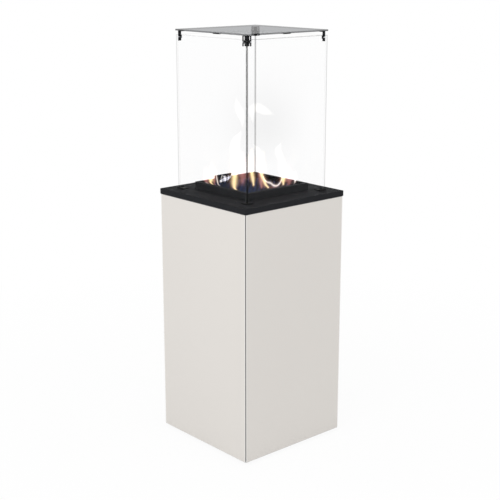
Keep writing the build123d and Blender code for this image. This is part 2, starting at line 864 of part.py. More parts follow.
def turned(edges):
    """A solid of revolution about the gas cylinder's axis."""
    section = Plane.XZ * make_face(edges)
    return Pos(0, cylinder_y, 0) * revolve(section, Axis.Z)


def cylinder_outside(grown=0.0):
    return turned(headed_profile(cylinder_radius + grown, crown_radius + grown, knuckle_radius + grown,
                                 shell_bottom - grown, shell_top + grown))


def gas_cylinder():
    wall = cylinder_wall
    inside = turned(headed_profile(cylinder_radius - wall, crown_radius - wall, knuckle_radius - wall,
                                   shell_bottom + wall, shell_top - wall))
    neck = rod(neck_radius, (0, cylinder_y, shell_top - neck_sunk), (0, cylinder_y, neck_top))
    bore = rod(neck_bore, (0, cylinder_y, shell_top - 2 * neck_sunk), (0, cylinder_y, neck_top))
    return cylinder_outside() - inside + neck - bore


def cylinder_foot_ring():
    low, high = (0, cylinder_y, tray_top), (0, cylinder_y, shell_bottom + cylinder_length / 4)
    ring = tube(foot_ring_radius, foot_ring_radius - ring_wall, low, high)
    return end_piece(ring - cylinder_outside(weld_gap), low=True)


def end_piece(shape, low):
    """The lowest or the highest solid of a shape that a cut has left in pieces."""
    solids = shape.solids().sort_by(Axis.Z)
    return solids[0] if low else solids[-1]


def cylinder_collar():
    """The guard round the valve, open towards the door."""
    bottom, top = shell_top - cylinder_length / 4, shell_top + collar_above_shell
    ring = tube(collar_radius, collar_radius - ring_wall, (0, cylinder_y, bottom), (0, cylinder_y, top))
    ring = end_piece(ring - cylinder_outside(weld_gap), low=False)
    reach = 2 * collar_radius
    spread = reach * math.tan(math.radians(collar_opening / 2))
    wedge = [(0, cylinder_y), (spread, cylinder_y + reach), (-spread, cylinder_y + reach)]
    return ring - prism(wedge, bottom, top)


def cylinder_valve():
    """A brass valve: threaded stem in the neck, body, outlet towards the door and a spindle above."""
    y = cylinder_y
    body = rod(neck_bore - thread_clearance, (0, y, shell_top - neck_sunk), (0, y, neck_top))
    body += rod(bottle_valve_radius, (0, y, neck_top), (0, y, bottle_valve_top))
    body += rod(outlet_radius, (0, y, outlet_z), (0, outlet_end_y, outlet_z))
    body += rod(stem_radius, (0, y, bottle_valve_top), (0, y, bottle_valve_top + stem_length))
    return body


def handwheel():
    z0 = bottle_valve_top + wheel_gap
    z1 = z0 + wheel_thickness
    y = cylinder_y
    wheel = rod(wheel_radius, (0, y, z0), (0, y, z1))
    reach = wheel_radius + wheel_lobe_radius - wheel_lobe_depth
    for index in range(wheel_lobes):
        turn = math.radians(360 * index / wheel_lobes)
        x_cut, y_cut = reach * math.cos(turn), y + reach * math.sin(turn)
        wheel -= rod(wheel_lobe_radius, (x_cut, y_cut, z0), (x_cut, y_cut, z1))
    wheel = fillet(wheel.faces().sort_by(Axis.Z)[-1].edges(), wheel_edge)
    return wheel - rod(stem_radius + shaft_clearance, (0, y, z0), (0, y, z1))


def union_nut():
    """The nut that draws the regulator's stub against the valve's outlet."""
    y1 = outlet_end_y + nut_lip
    y0 = y1 - nut_length
    body = Plane(origin=(0, y0, outlet_z), z_dir=(0, 1, 0)) * RegularPolygon(nut_flats / math.sqrt(3), 6)
    nut = extrude(body, amount=nut_length)
    shoulder = (0, outlet_end_y, outlet_z)
    nut -= rod(outlet_radius + shaft_clearance, (0, y0, outlet_z), shoulder)
    return nut - rod(regulator_stub_radius + shaft_clearance, shoulder, (0, y1, outlet_z))


def regulator():
    """Inlet stub, round housing with a bell on top, and a nozzle for the hose on the right."""
    z = outlet_z
    low = z - regulator_base / 2
    body = rod(regulator_stub_radius, (0, outlet_end_y, z), (0, regulator_y, z))
    base = rod(regulator_radius, (0, regulator_y, low), (0, regulator_y, low + regulator_base))
    body += fillet(base.edges(), regulator_base_edge)
    bell_top = low + regulator_base + regulator_bell
    bell = rod(regulator_bell_radius, (0, regulator_y, low + regulator_base), (0, regulator_y, bell_top))
    body += fillet(bell.edges().sort_by(Axis.Z)[-1], regulator_bell_edge)
    return body + rod(nozzle_radius, (0, regulator_y, z), (nozzle_end_x, regulator_y, z))


def gas_hose():
    """The rubber hose from the regulator's nozzle up to the tap's inlet."""
    inlet_x = valve_x + valve_width / 2 + valve_boss_length
    start, end = (nozzle_end_x, regulator_y, outlet_z), (inlet_x, valve_mid_y, control_height)
    first = (nozzle_end_x + hose_exit_run, regulator_y, outlet_z)
    last = (inlet_x + hose_entry_run, valve_mid_y, control_height)
    low_bend = (inner_half - hose_low_inset, regulator_y + hose_low_depth, outlet_z + hose_low_rise)
    high_bend = (inner_half - hose_high_inset, valve_mid_y - hose_high_depth, control_height - hose_high_drop)
    route = [start, first, low_bend, high_bend, last, end]
    return routed("gas hose", route, hose_radius)


# Lantern


def screw_axes():
    """Where each bracket screw crosses a pane, and the way out of the lantern there."""
    places = []
    for a in (-screw_place, screw_place):
        for side in (-1, 1):
            places.append(((a, side * pane_inner), (0, side)))
            places.append(((side * pane_inner, a), (side, 0)))
    return places


def drilled(pane):
    for (x, y), (dx, dy) in screw_axes():
        start = (x - dx * pane_thickness, y - dy * pane_thickness, screw_z)
        end = (x + 2 * dx * pane_thickness, y + 2 * dy * pane_thickness, screw_z)
        pane -= rod(screw_radius + screw_hole_clearance, start, end)
    return pane


def cross_pane(side):
    """The front or rear pane, which covers the ends of the side panes."""
    return drilled(block(-pane_half, pane_half, side * pane_inner, side * pane_half, pane_bottom, pane_top))


def side_pane(side):
    reach = pane_inner - pane_joint_gap
    return drilled(block(side * pane_inner, side * pane_half, -reach, reach, pane_bottom, pane_top))


def pane_feet():
    """Four black corner pads that lift the panes off the slab, with a low lip outside the glass."""
    feet = []
    wall = pane_half + pane_foot_gap
    outer = wall + pane_foot_wall
    inner = outer - pane_foot_width
    lip_top = slab_top + pane_foot_lip
    for sx in (-1, 1):
        for sy in (-1, 1):
            plan = (sx * outer, sx * inner, sy * outer, sy * inner)
            pad = block(*plan, slab_top, pane_bottom)
            lip = block(*plan, pane_bottom, lip_top)
            lip -= block(sx * wall, sx * inner, sy * wall, sy * inner, pane_bottom, lip_top)
            feet.append(pad + lip)
    return Compound(children=feet)


def corner_brackets():
    """Four folded corners that carry the top plate. Each has an angle inside the panes, and a finger
    that reaches over each pane and down its outside, with a lug for the screw between the two."""
    brackets = []
    low, t = plate_bottom - bracket_height, bracket_sheet
    lug_low, lug_high = screw_z - bracket_lug_height / 2, screw_z + bracket_lug_height / 2

    def corner_block(sx, sy, u0, u1, v0, v1, z0, z1):
        """A block by its distances inwards from the panes' inner corner along each pane."""
        along = (pane_inner - u0, pane_inner - u1)
        across = (pane_inner - v0, pane_inner - v1)
        plans = [(sx * along[0], sx * along[1], sy * across[0], sy * across[1]),
                 (sx * across[0], sx * across[1], sy * along[0], sy * along[1])]
        return block(*plans[0], z0, z1) + block(*plans[1], z0, z1)

    finger_end = finger_inset + finger_width
    for sx in (-1, 1):
        for sy in (-1, 1):
            shape = corner_block(sx, sy, 0, bracket_leg, 0, t, low, plate_bottom)
            shape += corner_block(sx, sy, 0, bracket_flange, 0, t, lug_low, lug_high)
            shape += corner_block(sx, sy, 0, bracket_flange, 0, bracket_flange,
                                  plate_bottom - t, plate_bottom)
            shape += corner_block(sx, sy, finger_inset, finger_end, -finger_reach, t,
                                  plate_bottom - t, plate_bottom)
            shape += corner_block(sx, sy, finger_inset, finger_end, -finger_reach,
                                  -pane_thickness - finger_glass_gap, low, plate_bottom)
            brackets.append(shape)
    holes = []
    for (x, y), (dx, dy) in screw_axes():
        start = (x - 2 * dx * t, y - 2 * dy * t, screw_z)
        end = (x + 2 * dx * finger_reach, y + 2 * dy * finger_reach, screw_z)
        holes.append(rod(screw_radius + shaft_clearance, start, end))
    return Compound(children=[b - holes for b in brackets])


def bracket_screws():
    """Eight screws with round heads on the brackets' fingers and cap nuts inside the lugs."""
    screws = []
    for (x, y), (dx, dy) in screw_axes():

        def along(distance):
            return (x + dx * distance, y + dy * distance, screw_z)

        screw = rod(screw_head_radius, along(finger_reach), along(finger_reach + screw_head))
        screw += rod(screw_radius, along(finger_reach), along(-bracket_sheet))
        screw += rod(cap_nut_radius, along(-bracket_sheet), along(-bracket_sheet - cap_nut_height))
        screws.append(screw)
    return Compound(children=screws)


def top_plate():
    plate = block(-plate_half, plate_half, -plate_half, plate_half, plate_bottom, plate_top)
    return chamfer(plate.edges(), plate_arris)


def edge_clips():
    """Two angle clips, under the left and the front edge of the top plate and up their lower half."""
    reach, depth = plate_half + clip_wall, plate_half - clip_depth
    low, high = plate_bottom - clip_wall, plate_bottom + clip_rise
    span = clip_length / 2
    slot = block(-plate_half, plate_half, -plate_half, plate_half, plate_bottom, plate_top)
    a, b = left_clip_offset, front_clip_offset
    left = block(-reach, -depth, a - span, a + span, low, high) - slot
    front = block(b - span, b + span, -reach, -depth, low, high) - slot
    return Compound(children=[left, front])


os.makedirs("parts", exist_ok=True)

pieces = {
    "floor_tray": floor_tray(),
    "corner_post_front_left": corner_post(-1, -inner_half, 1),
    "corner_post_front_right": corner_post(1, -inner_half, 1),
    "corner_post_rear_left": corner_post(-1, rear_post_y, -1),
    "corner_post_rear_right": corner_post(1, rear_post_y, -1),
    "top_frame": top_frame(),
    "panel_front": front_panel(),
    "panel_left": side_panel(-1),
    "panel_right": side_panel(1),
    "door_glass": door_glass(),
    "door_tray": door_tray(),
    "door_bushes": door_bushes(),
    "door_pivot_pins": door_pivot_pins(),
    "door_magnet": door_magnet(),
    "strike_plate": strike_plate(),
    "foot_nuts": foot_nuts(),
    "top_slab": top_slab(),
    "burner_plinth": burner_plinth(),
    "burner_box": burner_box(),
    "burner_spacers": burner_spacers(),
    "burner_tray": burner_tray(),
    "burner_plate": burner_plate(),
    "venturi_tube": venturi_tube(),
    "injector": injector(),
    "injector_bracket": injector_bracket(),
    "pilot_bracket": pilot_bracket(),
    "pilot_burner": pilot_burner(),
    "electrode_insulator": electrode_insulator(),
    "electrode_rod": electrode_rod(),
    "thermocouple": thermocouple(),
    "control_bracket": control_bracket(),
    "gas_valve": gas_valve(),
    "valve_spindle": valve_spindle(),
    "knob": knob(),
    "igniter_body": igniter_body(),
    "igniter_button": igniter_button(),
    "main_gas_pipe": main_gas_pipe(),
    "pilot_pipe": pilot_pipe(),
    "ignition_lead": ignition_lead(),
    "gas_cylinder": gas_cylinder(),
    "cylinder_foot_ring": cylinder_foot_ring(),
    "cylinder_collar": cylinder_collar(),
    "cylinder_valve": cylinder_valve(),
    "handwheel": handwheel(),
    "union_nut": union_nut(),
    "regulator": regulator(),
    "gas_hose": gas_hose(),
    "pane_front": cross_pane(-1),
    "pane_back": cross_pane(1),
    "pane_left": side_pane(-1),
    "pane_right": side_pane(1),
    "pane_feet": pane_feet(),
    "corner_brackets": corner_brackets(),
    "bracket_screws": bracket_screws(),
    "top_plate": top_plate(),
    "edge_clips": edge_clips(),
}
for name, (x, y) in zip(("front_left", "front_right", "rear_left", "rear_right"), foot_places()):
    pieces["levelling_foot_" + name] = levelling_foot(x, y)

for name, piece in pieces.items():
    export_step(piece, "parts/" + name + ".step")
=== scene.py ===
import math

import bmesh
import bpy
import numpy as np
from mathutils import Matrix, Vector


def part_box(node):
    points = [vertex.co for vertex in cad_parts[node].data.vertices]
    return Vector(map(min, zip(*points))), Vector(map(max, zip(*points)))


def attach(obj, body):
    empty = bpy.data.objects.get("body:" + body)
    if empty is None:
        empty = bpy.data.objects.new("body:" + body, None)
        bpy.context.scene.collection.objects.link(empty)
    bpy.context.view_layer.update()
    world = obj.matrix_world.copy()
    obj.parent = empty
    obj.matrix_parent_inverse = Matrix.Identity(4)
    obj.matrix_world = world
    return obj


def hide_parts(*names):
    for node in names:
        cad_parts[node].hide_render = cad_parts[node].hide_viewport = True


# The looks of a gas heater: finishes of every piece, the flames, and the small fittings.
# The scene is in metres, in the frame's own coordinates: +Z up, the front faces -Y. The flames and the
# fittings are laid out in millimetres.

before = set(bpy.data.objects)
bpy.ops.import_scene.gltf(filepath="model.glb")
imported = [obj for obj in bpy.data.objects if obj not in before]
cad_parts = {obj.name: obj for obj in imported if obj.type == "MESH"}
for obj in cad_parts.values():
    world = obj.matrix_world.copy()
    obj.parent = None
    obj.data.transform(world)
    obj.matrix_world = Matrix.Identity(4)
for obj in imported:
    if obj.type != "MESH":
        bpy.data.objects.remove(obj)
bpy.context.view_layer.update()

mm = 0.001

# The bearing of the photograph's view, about the upright axis
view_bearing = math.radians(-41.528)

# Levels and places read from the frame
burner_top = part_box("burner_plate")[1].z
pilot_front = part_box("pilot_burner")[0].y
pane_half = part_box("pane_front")[1].x
pane_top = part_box("pane_front")[1].z
column_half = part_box("panel_right")[1].x
panel_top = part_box("panel_front")[1].z


# Node trees


def started(name):
    """A new material with an empty node tree."""
    made = bpy.data.materials.new(name)
    made.use_nodes = True
    made.node_tree.nodes.clear()
    return made, made.node_tree


def put(tree, kind, inputs=None, **settings):
    """Adds a node. Each input is a plain value or another node's output."""
    node = tree.nodes.new(kind)
    for key, value in settings.items():
        setattr(node, key, value)
    for key, value in (inputs or {}).items():
        if isinstance(value, bpy.types.NodeSocket):
            tree.links.new(value, node.inputs[key])
        else:
            node.inputs[key].default_value = value
    return node


def place(tree, scale=(1, 1, 1)):
    """The point on the piece, in metres, stretched for a pattern."""
    point = put(tree, "ShaderNodeTexCoord").outputs["Object"]
    return put(tree, "ShaderNodeMapping", {"Vector": point, "Scale": scale}).outputs[0]


def noise(tree, point, scale, detail=2.0, roughness=0.5):
    """Soft noise from 0 to 1 with features about 1 / scale metres wide."""
    inputs = {"Vector": point, "Scale": scale, "Detail": detail, "Roughness": roughness}
    return put(tree, "ShaderNodeTexNoise", inputs).outputs["Fac"]


def mixed(tree, factor, first, second):
    """Two colours mixed by a factor."""
    node = put(tree, "ShaderNodeMix", data_type="RGBA")
    for index, value in ((0, factor), (6, first), (7, second)):
        if isinstance(value, bpy.types.NodeSocket):
            tree.links.new(value, node.inputs[index])
        else:
            node.inputs[index].default_value = (*value, 1) if hasattr(value, "__len__") else value
    return node.outputs[2]


def spread(tree, value, low, high, from_low=0.0, from_high=1.0):
    """Maps a value from one range to another."""
    inputs = {"Value": value, "From Min": from_low, "From Max": from_high, "To Min": low, "To Max": high}
    return put(tree, "ShaderNodeMapRange", inputs).outputs[0]


def maths(tree, operation, first, second=0.0):
    """One step of arithmetic on plain values or other nodes' outputs."""
    node = put(tree, "ShaderNodeMath", operation=operation)
    for index, value in enumerate((first, second)):
        if isinstance(value, bpy.types.NodeSocket):
            tree.links.new(value, node.inputs[index])
        else:
            node.inputs[index].default_value = value
    return node.outputs[0]


def facing(tree, axis, least):
    """1 on faces that point along an axis, either way, by at least a share of 1, and 0 elsewhere."""
    direction = put(tree, "ShaderNodeNewGeometry").outputs["True Normal"]
    along = put(tree, "ShaderNodeSeparateXYZ", {"Vector": direction}).outputs[axis]
    return maths(tree, "GREATER_THAN", maths(tree, "ABSOLUTE", along), least)


def bumped(tree, height, distance, strength=1.0, normal=None):
    """A bent normal from a height from 0 to 1 that stands for distance metres."""
    inputs = {"Height": height, "Distance": distance, "Strength": strength}
    if normal is not None:
        inputs["Normal"] = normal
    return put(tree, "ShaderNodeBump", inputs).outputs[0]


def softened(tree, radius):
    """The normal of the surface with its sharp edges rounded by a radius."""
    return put(tree, "ShaderNodeBevel", {"Radius": radius}, samples=4).outputs[0]


def principled(tree, **inputs):
    """The surface shader, wired to the output. Underscores in names stand for spaces."""
    named = {key.replace("_", " "): value for key, value in inputs.items()}
    shader = put(tree, "ShaderNodeBsdfPrincipled", named)
    put(tree, "ShaderNodeOutputMaterial", {"Surface": shader.outputs[0]})


def grey(value):
    """A plain grey as a colour, fully opaque."""
    return (value, value, value, 1)


# Finishes


def past(tree, axis, start, side=0):
    """1 where the piece lies further from the middle than start, on one side or, for side 0, on both."""
    point = put(tree, "ShaderNodeTexCoord").outputs["Object"]
    along = put(tree, "ShaderNodeSeparateXYZ", {"Vector": point}).outputs[axis]
    reach = maths(tree, "MULTIPLY", along, side) if side else maths(tree, "ABSOLUTE", along)
    return maths(tree, "GREATER_THAN", reach, start)


def lacquered_glass(name, thin):
    """Off-white lacquer behind a polished sheet. Thin is the axis across the sheet. A border along the
    sheet's sides and top is painted paler, a painted highlight for the light that its polished edges let
    in, and its ground arrises are painted dark, a painted shade for the joints."""
    side_border, top_border = 5.2 * mm, 2.8 * mm
    made, tree = started(name)
    point = place(tree)
    cloud = noise(tree, point, 2.2, 2.0)
    face = mixed(tree, cloud, (0.703, 0.672, 0.636), (0.720, 0.690, 0.653))
    sides = past(tree, 1 - thin, column_half - side_border)
    top = past(tree, 2, panel_top - top_border, 1)
    border = maths(tree, "MAXIMUM", sides, top)
    # Painted highlight: the paler border along the sides and top
    painted_edge_highlight = mixed(tree, noise(tree, point, 60.0, 2.0), (0.84, 0.825, 0.80), (0.86, 0.845, 0.82))
    # Painted shade: the dark ground arrises, for the shadow in the joints
    arris = mixed(tree, noise(tree, point, 200.0, 2.0), (0.28, 0.273, 0.265), (0.36, 0.35, 0.34))
    colour = mixed(tree, facing(tree, thin, 0.9), arris, mixed(tree, border, face, painted_edge_highlight))
    ripple = bumped(tree, noise(tree, point, 14.0, 1.0), 0.00003)
    principled(tree, Base_Color=colour, Roughness=0.04, Normal=ripple, Specular_IOR_Level=0.5, IOR=1.5)
    return made


def powder_coat():
    """Black powder coat: a fine pebbled skin that is nearly matt."""
    made, tree = started("powder_coat")
    point = place(tree)
    pebbles = noise(tree, point, 1400.0, 3.0, 0.6)
    colour = mixed(tree, noise(tree, point, 26.0, 4.0), (0.0185, 0.0192, 0.0212), (0.0235, 0.0243, 0.0268))
    rough = spread(tree, noise(tree, point, 60.0, 3.0), 0.6, 0.72)
    normal = bumped(tree, pebbles, 0.00006, 1.0, softened(tree, 0.0006))
    principled(tree, Base_Color=colour, Roughness=rough, Normal=normal, Specular_IOR_Level=0.02)
    return made


def burner_enamel():
    """Blue-black heat enamel with a matt, slightly orange-peeled skin."""
    made, tree = started("burner_enamel")
    point = place(tree)
    colour = mixed(tree, noise(tree, point, 40.0, 4.0), (0.009, 0.011, 0.017), (0.014, 0.017, 0.025))
    rough = spread(tree, noise(tree, point, 90.0, 3.0), 0.65, 0.78)
    normal = bumped(tree, noise(tree, point, 500.0, 2.0), 0.00005, 1.0, softened(tree, 0.0004))
    principled(tree, Base_Color=colour, Roughness=rough, Normal=normal, Specular_IOR_Level=0.01)
    return made


def primed_steel():
    """Grey primed sheet steel."""
    made, tree = started("primed_steel")
    point = place(tree)
    colour = mixed(tree, noise(tree, point, 9.0, 5.0), (0.20, 0.205, 0.21), (0.27, 0.275, 0.28))
    rough = spread(tree, noise(tree, point, 45.0, 4.0), 0.45, 0.62)
    normal = bumped(tree, noise(tree, point, 900.0, 2.0), 0.00004, 1.0, softened(tree, 0.0005))
    principled(tree, Base_Color=colour, Roughness=rough, Normal=normal)
    return made


def metal(name, dark, light, rough, grain, direction=(1, 1, 1), edge=0.0004):
    """Bare metal whose tone and gloss vary along its grain, between dark and light and within the range
    rough. Direction stretches the grain, and edge is the rounding of its edges."""
    made, tree = started(name)
    streaks = noise(tree, place(tree, direction), grain, 4.0, 0.6)
    blotches = noise(tree, place(tree), 28.0, 3.0)
    colour = mixed(tree, mixed(tree, 0.5, streaks, blotches), dark, light)
    gloss = spread(tree, streaks, rough[0], rough[1])
    normal = bumped(tree, streaks, 0.00002, 0.8, softened(tree, edge))
    principled(tree, Base_Color=colour, Metallic=1.0, Roughness=gloss, Normal=normal)
    return made


def plastic(name, dark, light, rough, pebble=0.00003, shine=0.5):
    """Moulded plastic with a fine grain, whose tone lies between dark and light and whose roughness lies
    within the range rough. Pebble is the grain's height."""
    made, tree = started(name)
    point = place(tree)
    colour = mixed(tree, noise(tree, point, 40.0, 3.0), dark, light)
    gloss = spread(tree, noise(tree, point, 120.0, 2.0), rough[0], rough[1])
    normal = bumped(tree, noise(tree, point, 2600.0, 2.0), pebble, 1.0, softened(tree, 0.0004))
    principled(tree, Base_Color=colour, Roughness=gloss, Normal=normal, Specular_IOR_Level=shine)
    return made


def sheet_glass(name, thin, clear, mirror, edge_dim, bands=()):
    """Sheet glass. Thin is the axis across the sheet: faces turned another way are its ground edge, which
    lets only edge_dim of the light through. Mirror is its share of a bare sheet's reflection. Each band
    is a strip painted darker, a painted shade in place of the light that the glass bends away there: it
    dims what is seen through it. A band is first the share that it lets through, then its limits (axis,
    start, side), all of which it lies past."""
    ground_share = 0.04
    made, tree = started(name)
    outside = maths(tree, "SUBTRACT", 1.0, put(tree, "ShaderNodeNewGeometry").outputs["Backfacing"])
    glancing = put(tree, "ShaderNodeFresnel", {"IOR": 1.5}).outputs[0]
    gloss = maths(tree, "MULTIPLY", maths(tree, "MULTIPLY", glancing, mirror), outside)
    see = put(tree, "ShaderNodeBsdfTransparent", {"Color": (*clear, 1)})
    # Painted shade: each band dims the view through its strip of the sheet
    for dim, *limits in bands:
        strip = put(tree, "ShaderNodeBsdfTransparent", {"Color": grey(dim)})
        where = 1.0
        for axis, start, side in limits:
            where = maths(tree, "MULTIPLY", past(tree, axis, start, side), where)
        see = put(tree, "ShaderNodeMixShader", {0: where, 1: see.outputs[0], 2: strip.outputs[0]})
    shine = put(tree, "ShaderNodeBsdfGlossy", {"Color": grey(1.0), "Roughness": 0.0})
    sheet = put(tree, "ShaderNodeMixShader", {0: gloss, 1: see.outputs[0], 2: shine.outputs[0]})
    rough = spread(tree, noise(tree, place(tree), 700.0, 2.0), 0.2, 0.4)
    ground_tone = {"Base Color": (0.42, 0.45, 0.44, 1), "Roughness": rough}
    ground = put(tree, "ShaderNodeBsdfPrincipled", ground_tone)
    behind = put(tree, "ShaderNodeBsdfTransparent", {"Color": grey(edge_dim)})
    rim = put(tree, "ShaderNodeMixShader", {0: ground_share, 1: behind.outputs[0], 2: ground.outputs[0]})
    face = facing(tree, thin, 0.5)
    both = put(tree, "ShaderNodeMixShader", {0: face, 1: rim.outputs[0], 2: sheet.outputs[0]})
    put(tree, "ShaderNodeOutputMaterial", {"Surface": both.outputs[0]})
    return made


def burning(name):
    """Light added to what is behind it, in the colour of the surface's own glow attribute."""
    made, tree = started(name)
    glow = put(tree, "ShaderNodeAttribute", attribute_name="glow").outputs["Color"]
    light = put(tree, "ShaderNodeEmission", {"Color": glow, "Strength": 1.0})
    see = put(tree, "ShaderNodeBsdfTransparent", {"Color": grey(1.0)})
    both = put(tree, "ShaderNodeAddShader", {0: see.outputs[0], 1: light.outputs[0]})
    put(tree, "ShaderNodeOutputMaterial", {"Surface": both.outputs[0]})
    made.cycles.emission_sampling = "NONE"
    return made


def grey_veil(name):
    """A painted grey veil: a see-through surface that dims what is behind it a little, by the surface's
    own glow attribute.
    """
    made, tree = started(name)
    tone = put(tree, "ShaderNodeAttribute", attribute_name="glow").outputs["Color"]
    see = put(tree, "ShaderNodeBsdfTransparent", {"Color": tone})
    put(tree, "ShaderNodeOutputMaterial", {"Surface": see.outputs[0]})
    return made


clear_tone = (0.9955, 0.9955, 0.9958)
plate_tone = (0.570, 0.577, 0.588)

# Limits of the painted dark bands on the panes: the polished arris along the top, the outer face of the
# front and of the back pane, all of the front pane behind its outer face, and all of it right of its left
# arris
top_arris = (2, pane_top - 2.2 * mm, 1)
front_face = (1, pane_half - 1 * mm, -1)
back_face = (1, pane_half - 1 * mm, 1)
behind_front = (1, 1 * mm - pane_half, 1)
off_left_arris = (0, 2.1 * mm - pane_half, 1)


def edge_strip(width, side):
    """The limit of the strip along a pane's left (-1) or right (1) edge, of a width in millimetres."""
    return (0, pane_half - width * mm, side)


finishes = {
    "lacquer_x": lacquered_glass("lacquer_x", 0),
    "lacquer_y": lacquered_glass("lacquer_y", 1),
    "powder_coat": powder_coat(),
    "burner_enamel": burner_enamel(),
    "primed_steel": primed_steel(),
    "stainless": metal("stainless", (0.42, 0.41, 0.40), (0.62, 0.61, 0.60), (0.24, 0.4), 90.0, (1, 12, 1)),
    "scorched_steel": metal("scorched_steel", (0.05, 0.045, 0.045), (0.16, 0.14, 0.13), (0.4, 0.6), 60.0),
    "zinc": metal("zinc", (0.52, 0.53, 0.55), (0.68, 0.69, 0.70), (0.28, 0.42), 160.0),
    "brass": metal("brass", (0.62, 0.44, 0.19), (0.78, 0.6, 0.3), (0.2, 0.34), 240.0),
    "copper": metal("copper", (0.60, 0.27, 0.15), (0.80, 0.42, 0.27), (0.2, 0.36), 120.0),
    "cast_alloy": metal("cast_alloy", (0.42, 0.42, 0.43), (0.58, 0.58, 0.59), (0.42, 0.6), 700.0),
    "black_plastic": plastic("black_plastic", (0.012, 0.012, 0.013), (0.02, 0.02, 0.021), (0.35, 0.5)),
    "pad_rubber": plastic("pad_rubber", (0.013, 0.013, 0.014), (0.018, 0.018, 0.019), (0.6, 0.75),
                          shine=0.1),
    "white_print": plastic("white_print", (0.74, 0.74, 0.72), (0.82, 0.82, 0.80), (0.4, 0.5)),
    "red_plastic": plastic("red_plastic", (0.36, 0.018, 0.012), (0.46, 0.028, 0.018), (0.2, 0.3)),
    "nylon": plastic("nylon", (0.62, 0.61, 0.56), (0.7, 0.69, 0.64), (0.35, 0.5)),
    "ceramic": plastic("ceramic", (0.74, 0.71, 0.64), (0.8, 0.78, 0.72), (0.12, 0.2)),
    "hose_rubber": plastic("hose_rubber", (0.55, 0.14, 0.02), (0.66, 0.19, 0.03), (0.45, 0.6)),
    "silicone": plastic("silicone", (0.35, 0.03, 0.02), (0.42, 0.04, 0.025), (0.4, 0.5)),
    "cylinder_paint": plastic("cylinder_paint", (0.22, 0.245, 0.26), (0.27, 0.295, 0.31), (0.25, 0.4),
                              0.00008),
    # The four panes are copies of one glass whose reflection share, edge dimming and bands differ from
    # side to side: painted light and shade for how each side looks lit
    "pane_left": sheet_glass("pane_left", 0, clear_tone, 0.08, 0.97, [(0.93, top_arris)]),
    "pane_right": sheet_glass("pane_right", 0, clear_tone, 0.2, 0.985, [(0.97, top_arris)]),
    "pane_front": sheet_glass("pane_front", 1, clear_tone, 0.14, 0.97, [
        (0.80, top_arris),
        (0.72, edge_strip(3.0, 1), front_face),
        (0.30, edge_strip(4.8, -1), front_face),
        (0.30, edge_strip(5.0, -1), off_left_arris, behind_front)]),
    "pane_back": sheet_glass("pane_back", 1, clear_tone, 0.2, 0.97, [
        (0.97, top_arris),
        (0.80, edge_strip(3.0, -1), back_face),
        (0.36, edge_strip(4.0, 1), back_face)]),
    "tinted_plate": sheet_glass("tinted_plate", 2, plate_tone, 0.32, 0.42),
    "flame": burning("flame"),
    "grey_veil": grey_veil("grey_veil"),
}

finished_nodes = {
    "primed_steel": ["floor_tray", "top_frame", "door_tray", "control_bracket"],
    "lacquer_x": ["panel_left", "panel_right"],
    "lacquer_y": ["panel_front", "door_glass"],
    "powder_coat": ["top_slab", "burner_plinth", "pilot_bracket", "corner_brackets", "edge_clips"],
    "burner_enamel": ["burner_tray", "burner_plate"],
    "scorched_steel": ["burner_box", "burner_spacers", "thermocouple"],
    "stainless": ["venturi_tube", "injector_bracket", "pilot_burner", "electrode_rod"],
    "zinc": ["door_pivot_pins", "strike_plate", "foot_nuts", "valve_spindle", "bracket_screws"],
    "brass": ["injector", "cylinder_valve", "union_nut"],
    "copper": ["main_gas_pipe", "pilot_pipe"],
    "cast_alloy": ["gas_valve", "regulator"],
    "black_plastic": ["door_magnet", "knob", "igniter_body", "handwheel"],
    "red_plastic": ["igniter_button"],
    "nylon": ["door_bushes"],
    "ceramic": ["electrode_insulator"],
    "silicone": ["ignition_lead"],
    "hose_rubber": ["gas_hose"],
    "pad_rubber": ["pane_feet"],
    "cylinder_paint": ["gas_cylinder", "cylinder_foot_ring", "cylinder_collar"],
    "tinted_plate": ["top_plate"],
}
for corner in ("front_left", "front_right", "rear_left", "rear_right"):
    finished_nodes["primed_steel"].append("corner_post_" + corner)
    finished_nodes["black_plastic"].append("levelling_foot_" + corner)
for pane in ("pane_front", "pane_back", "pane_left", "pane_right"):
    finished_nodes[pane] = [pane]
for finish, nodes in finished_nodes.items():
    for node in nodes:
        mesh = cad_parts[node].data
        mesh.materials.clear()
        mesh.materials.append(finishes[finish])


# Surfaces


def grid_faces(index, around):
    """The faces of a grid of point numbers: each joins a point to the next in its row and to the two
    above them. Around joins each row's last point to its first."""
    left, right = (index, np.roll(index, -1, axis=1)) if around else (index[:, :-1], index[:, 1:])
    return np.stack([left[:-1], right[:-1], right[1:], left[1:]], axis=-1).reshape(-1, 4)


def grid_mesh(name, points, faces, glow):
    """A mesh of points and faces. Glow is None, or the light (red, green, blue) at each point."""
    mesh = bpy.data.meshes.new(name)
    mesh.from_pydata(points.tolist(), [], faces.tolist())
    if glow is not None:
        layer = mesh.color_attributes.new("glow", "FLOAT_COLOR", "POINT")
        light = np.hstack([glow, np.ones((len(glow), 1))])
        layer.data.foreach_set("color", light.astype(np.float32).ravel())
    return mesh


def as_piece(name, mesh, finish, body):
    """The piece of a mesh, smooth and finished, which rides on a body."""
    mesh.materials.append(finishes[finish])
    mesh.polygons.foreach_set("use_smooth", np.ones(len(mesh.polygons), bool))
    piece = bpy.data.objects.new(name, mesh)
    bpy.context.scene.collection.objects.link(piece)
    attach(piece, body)
    return piece


def thin_sheet(name, points, finish, glow):
    """A sheet of light or of painted grey veil, without thickness: one grid of points (rows, columns, 3).
    """
    index = np.arange(points.shape[0] * points.shape[1]).reshape(points.shape[:2])
    mesh = grid_mesh(name, points.reshape(-1, 3), grid_faces(index, False), glow.reshape(-1, 3))
    as_piece(name, mesh, finish, "root")


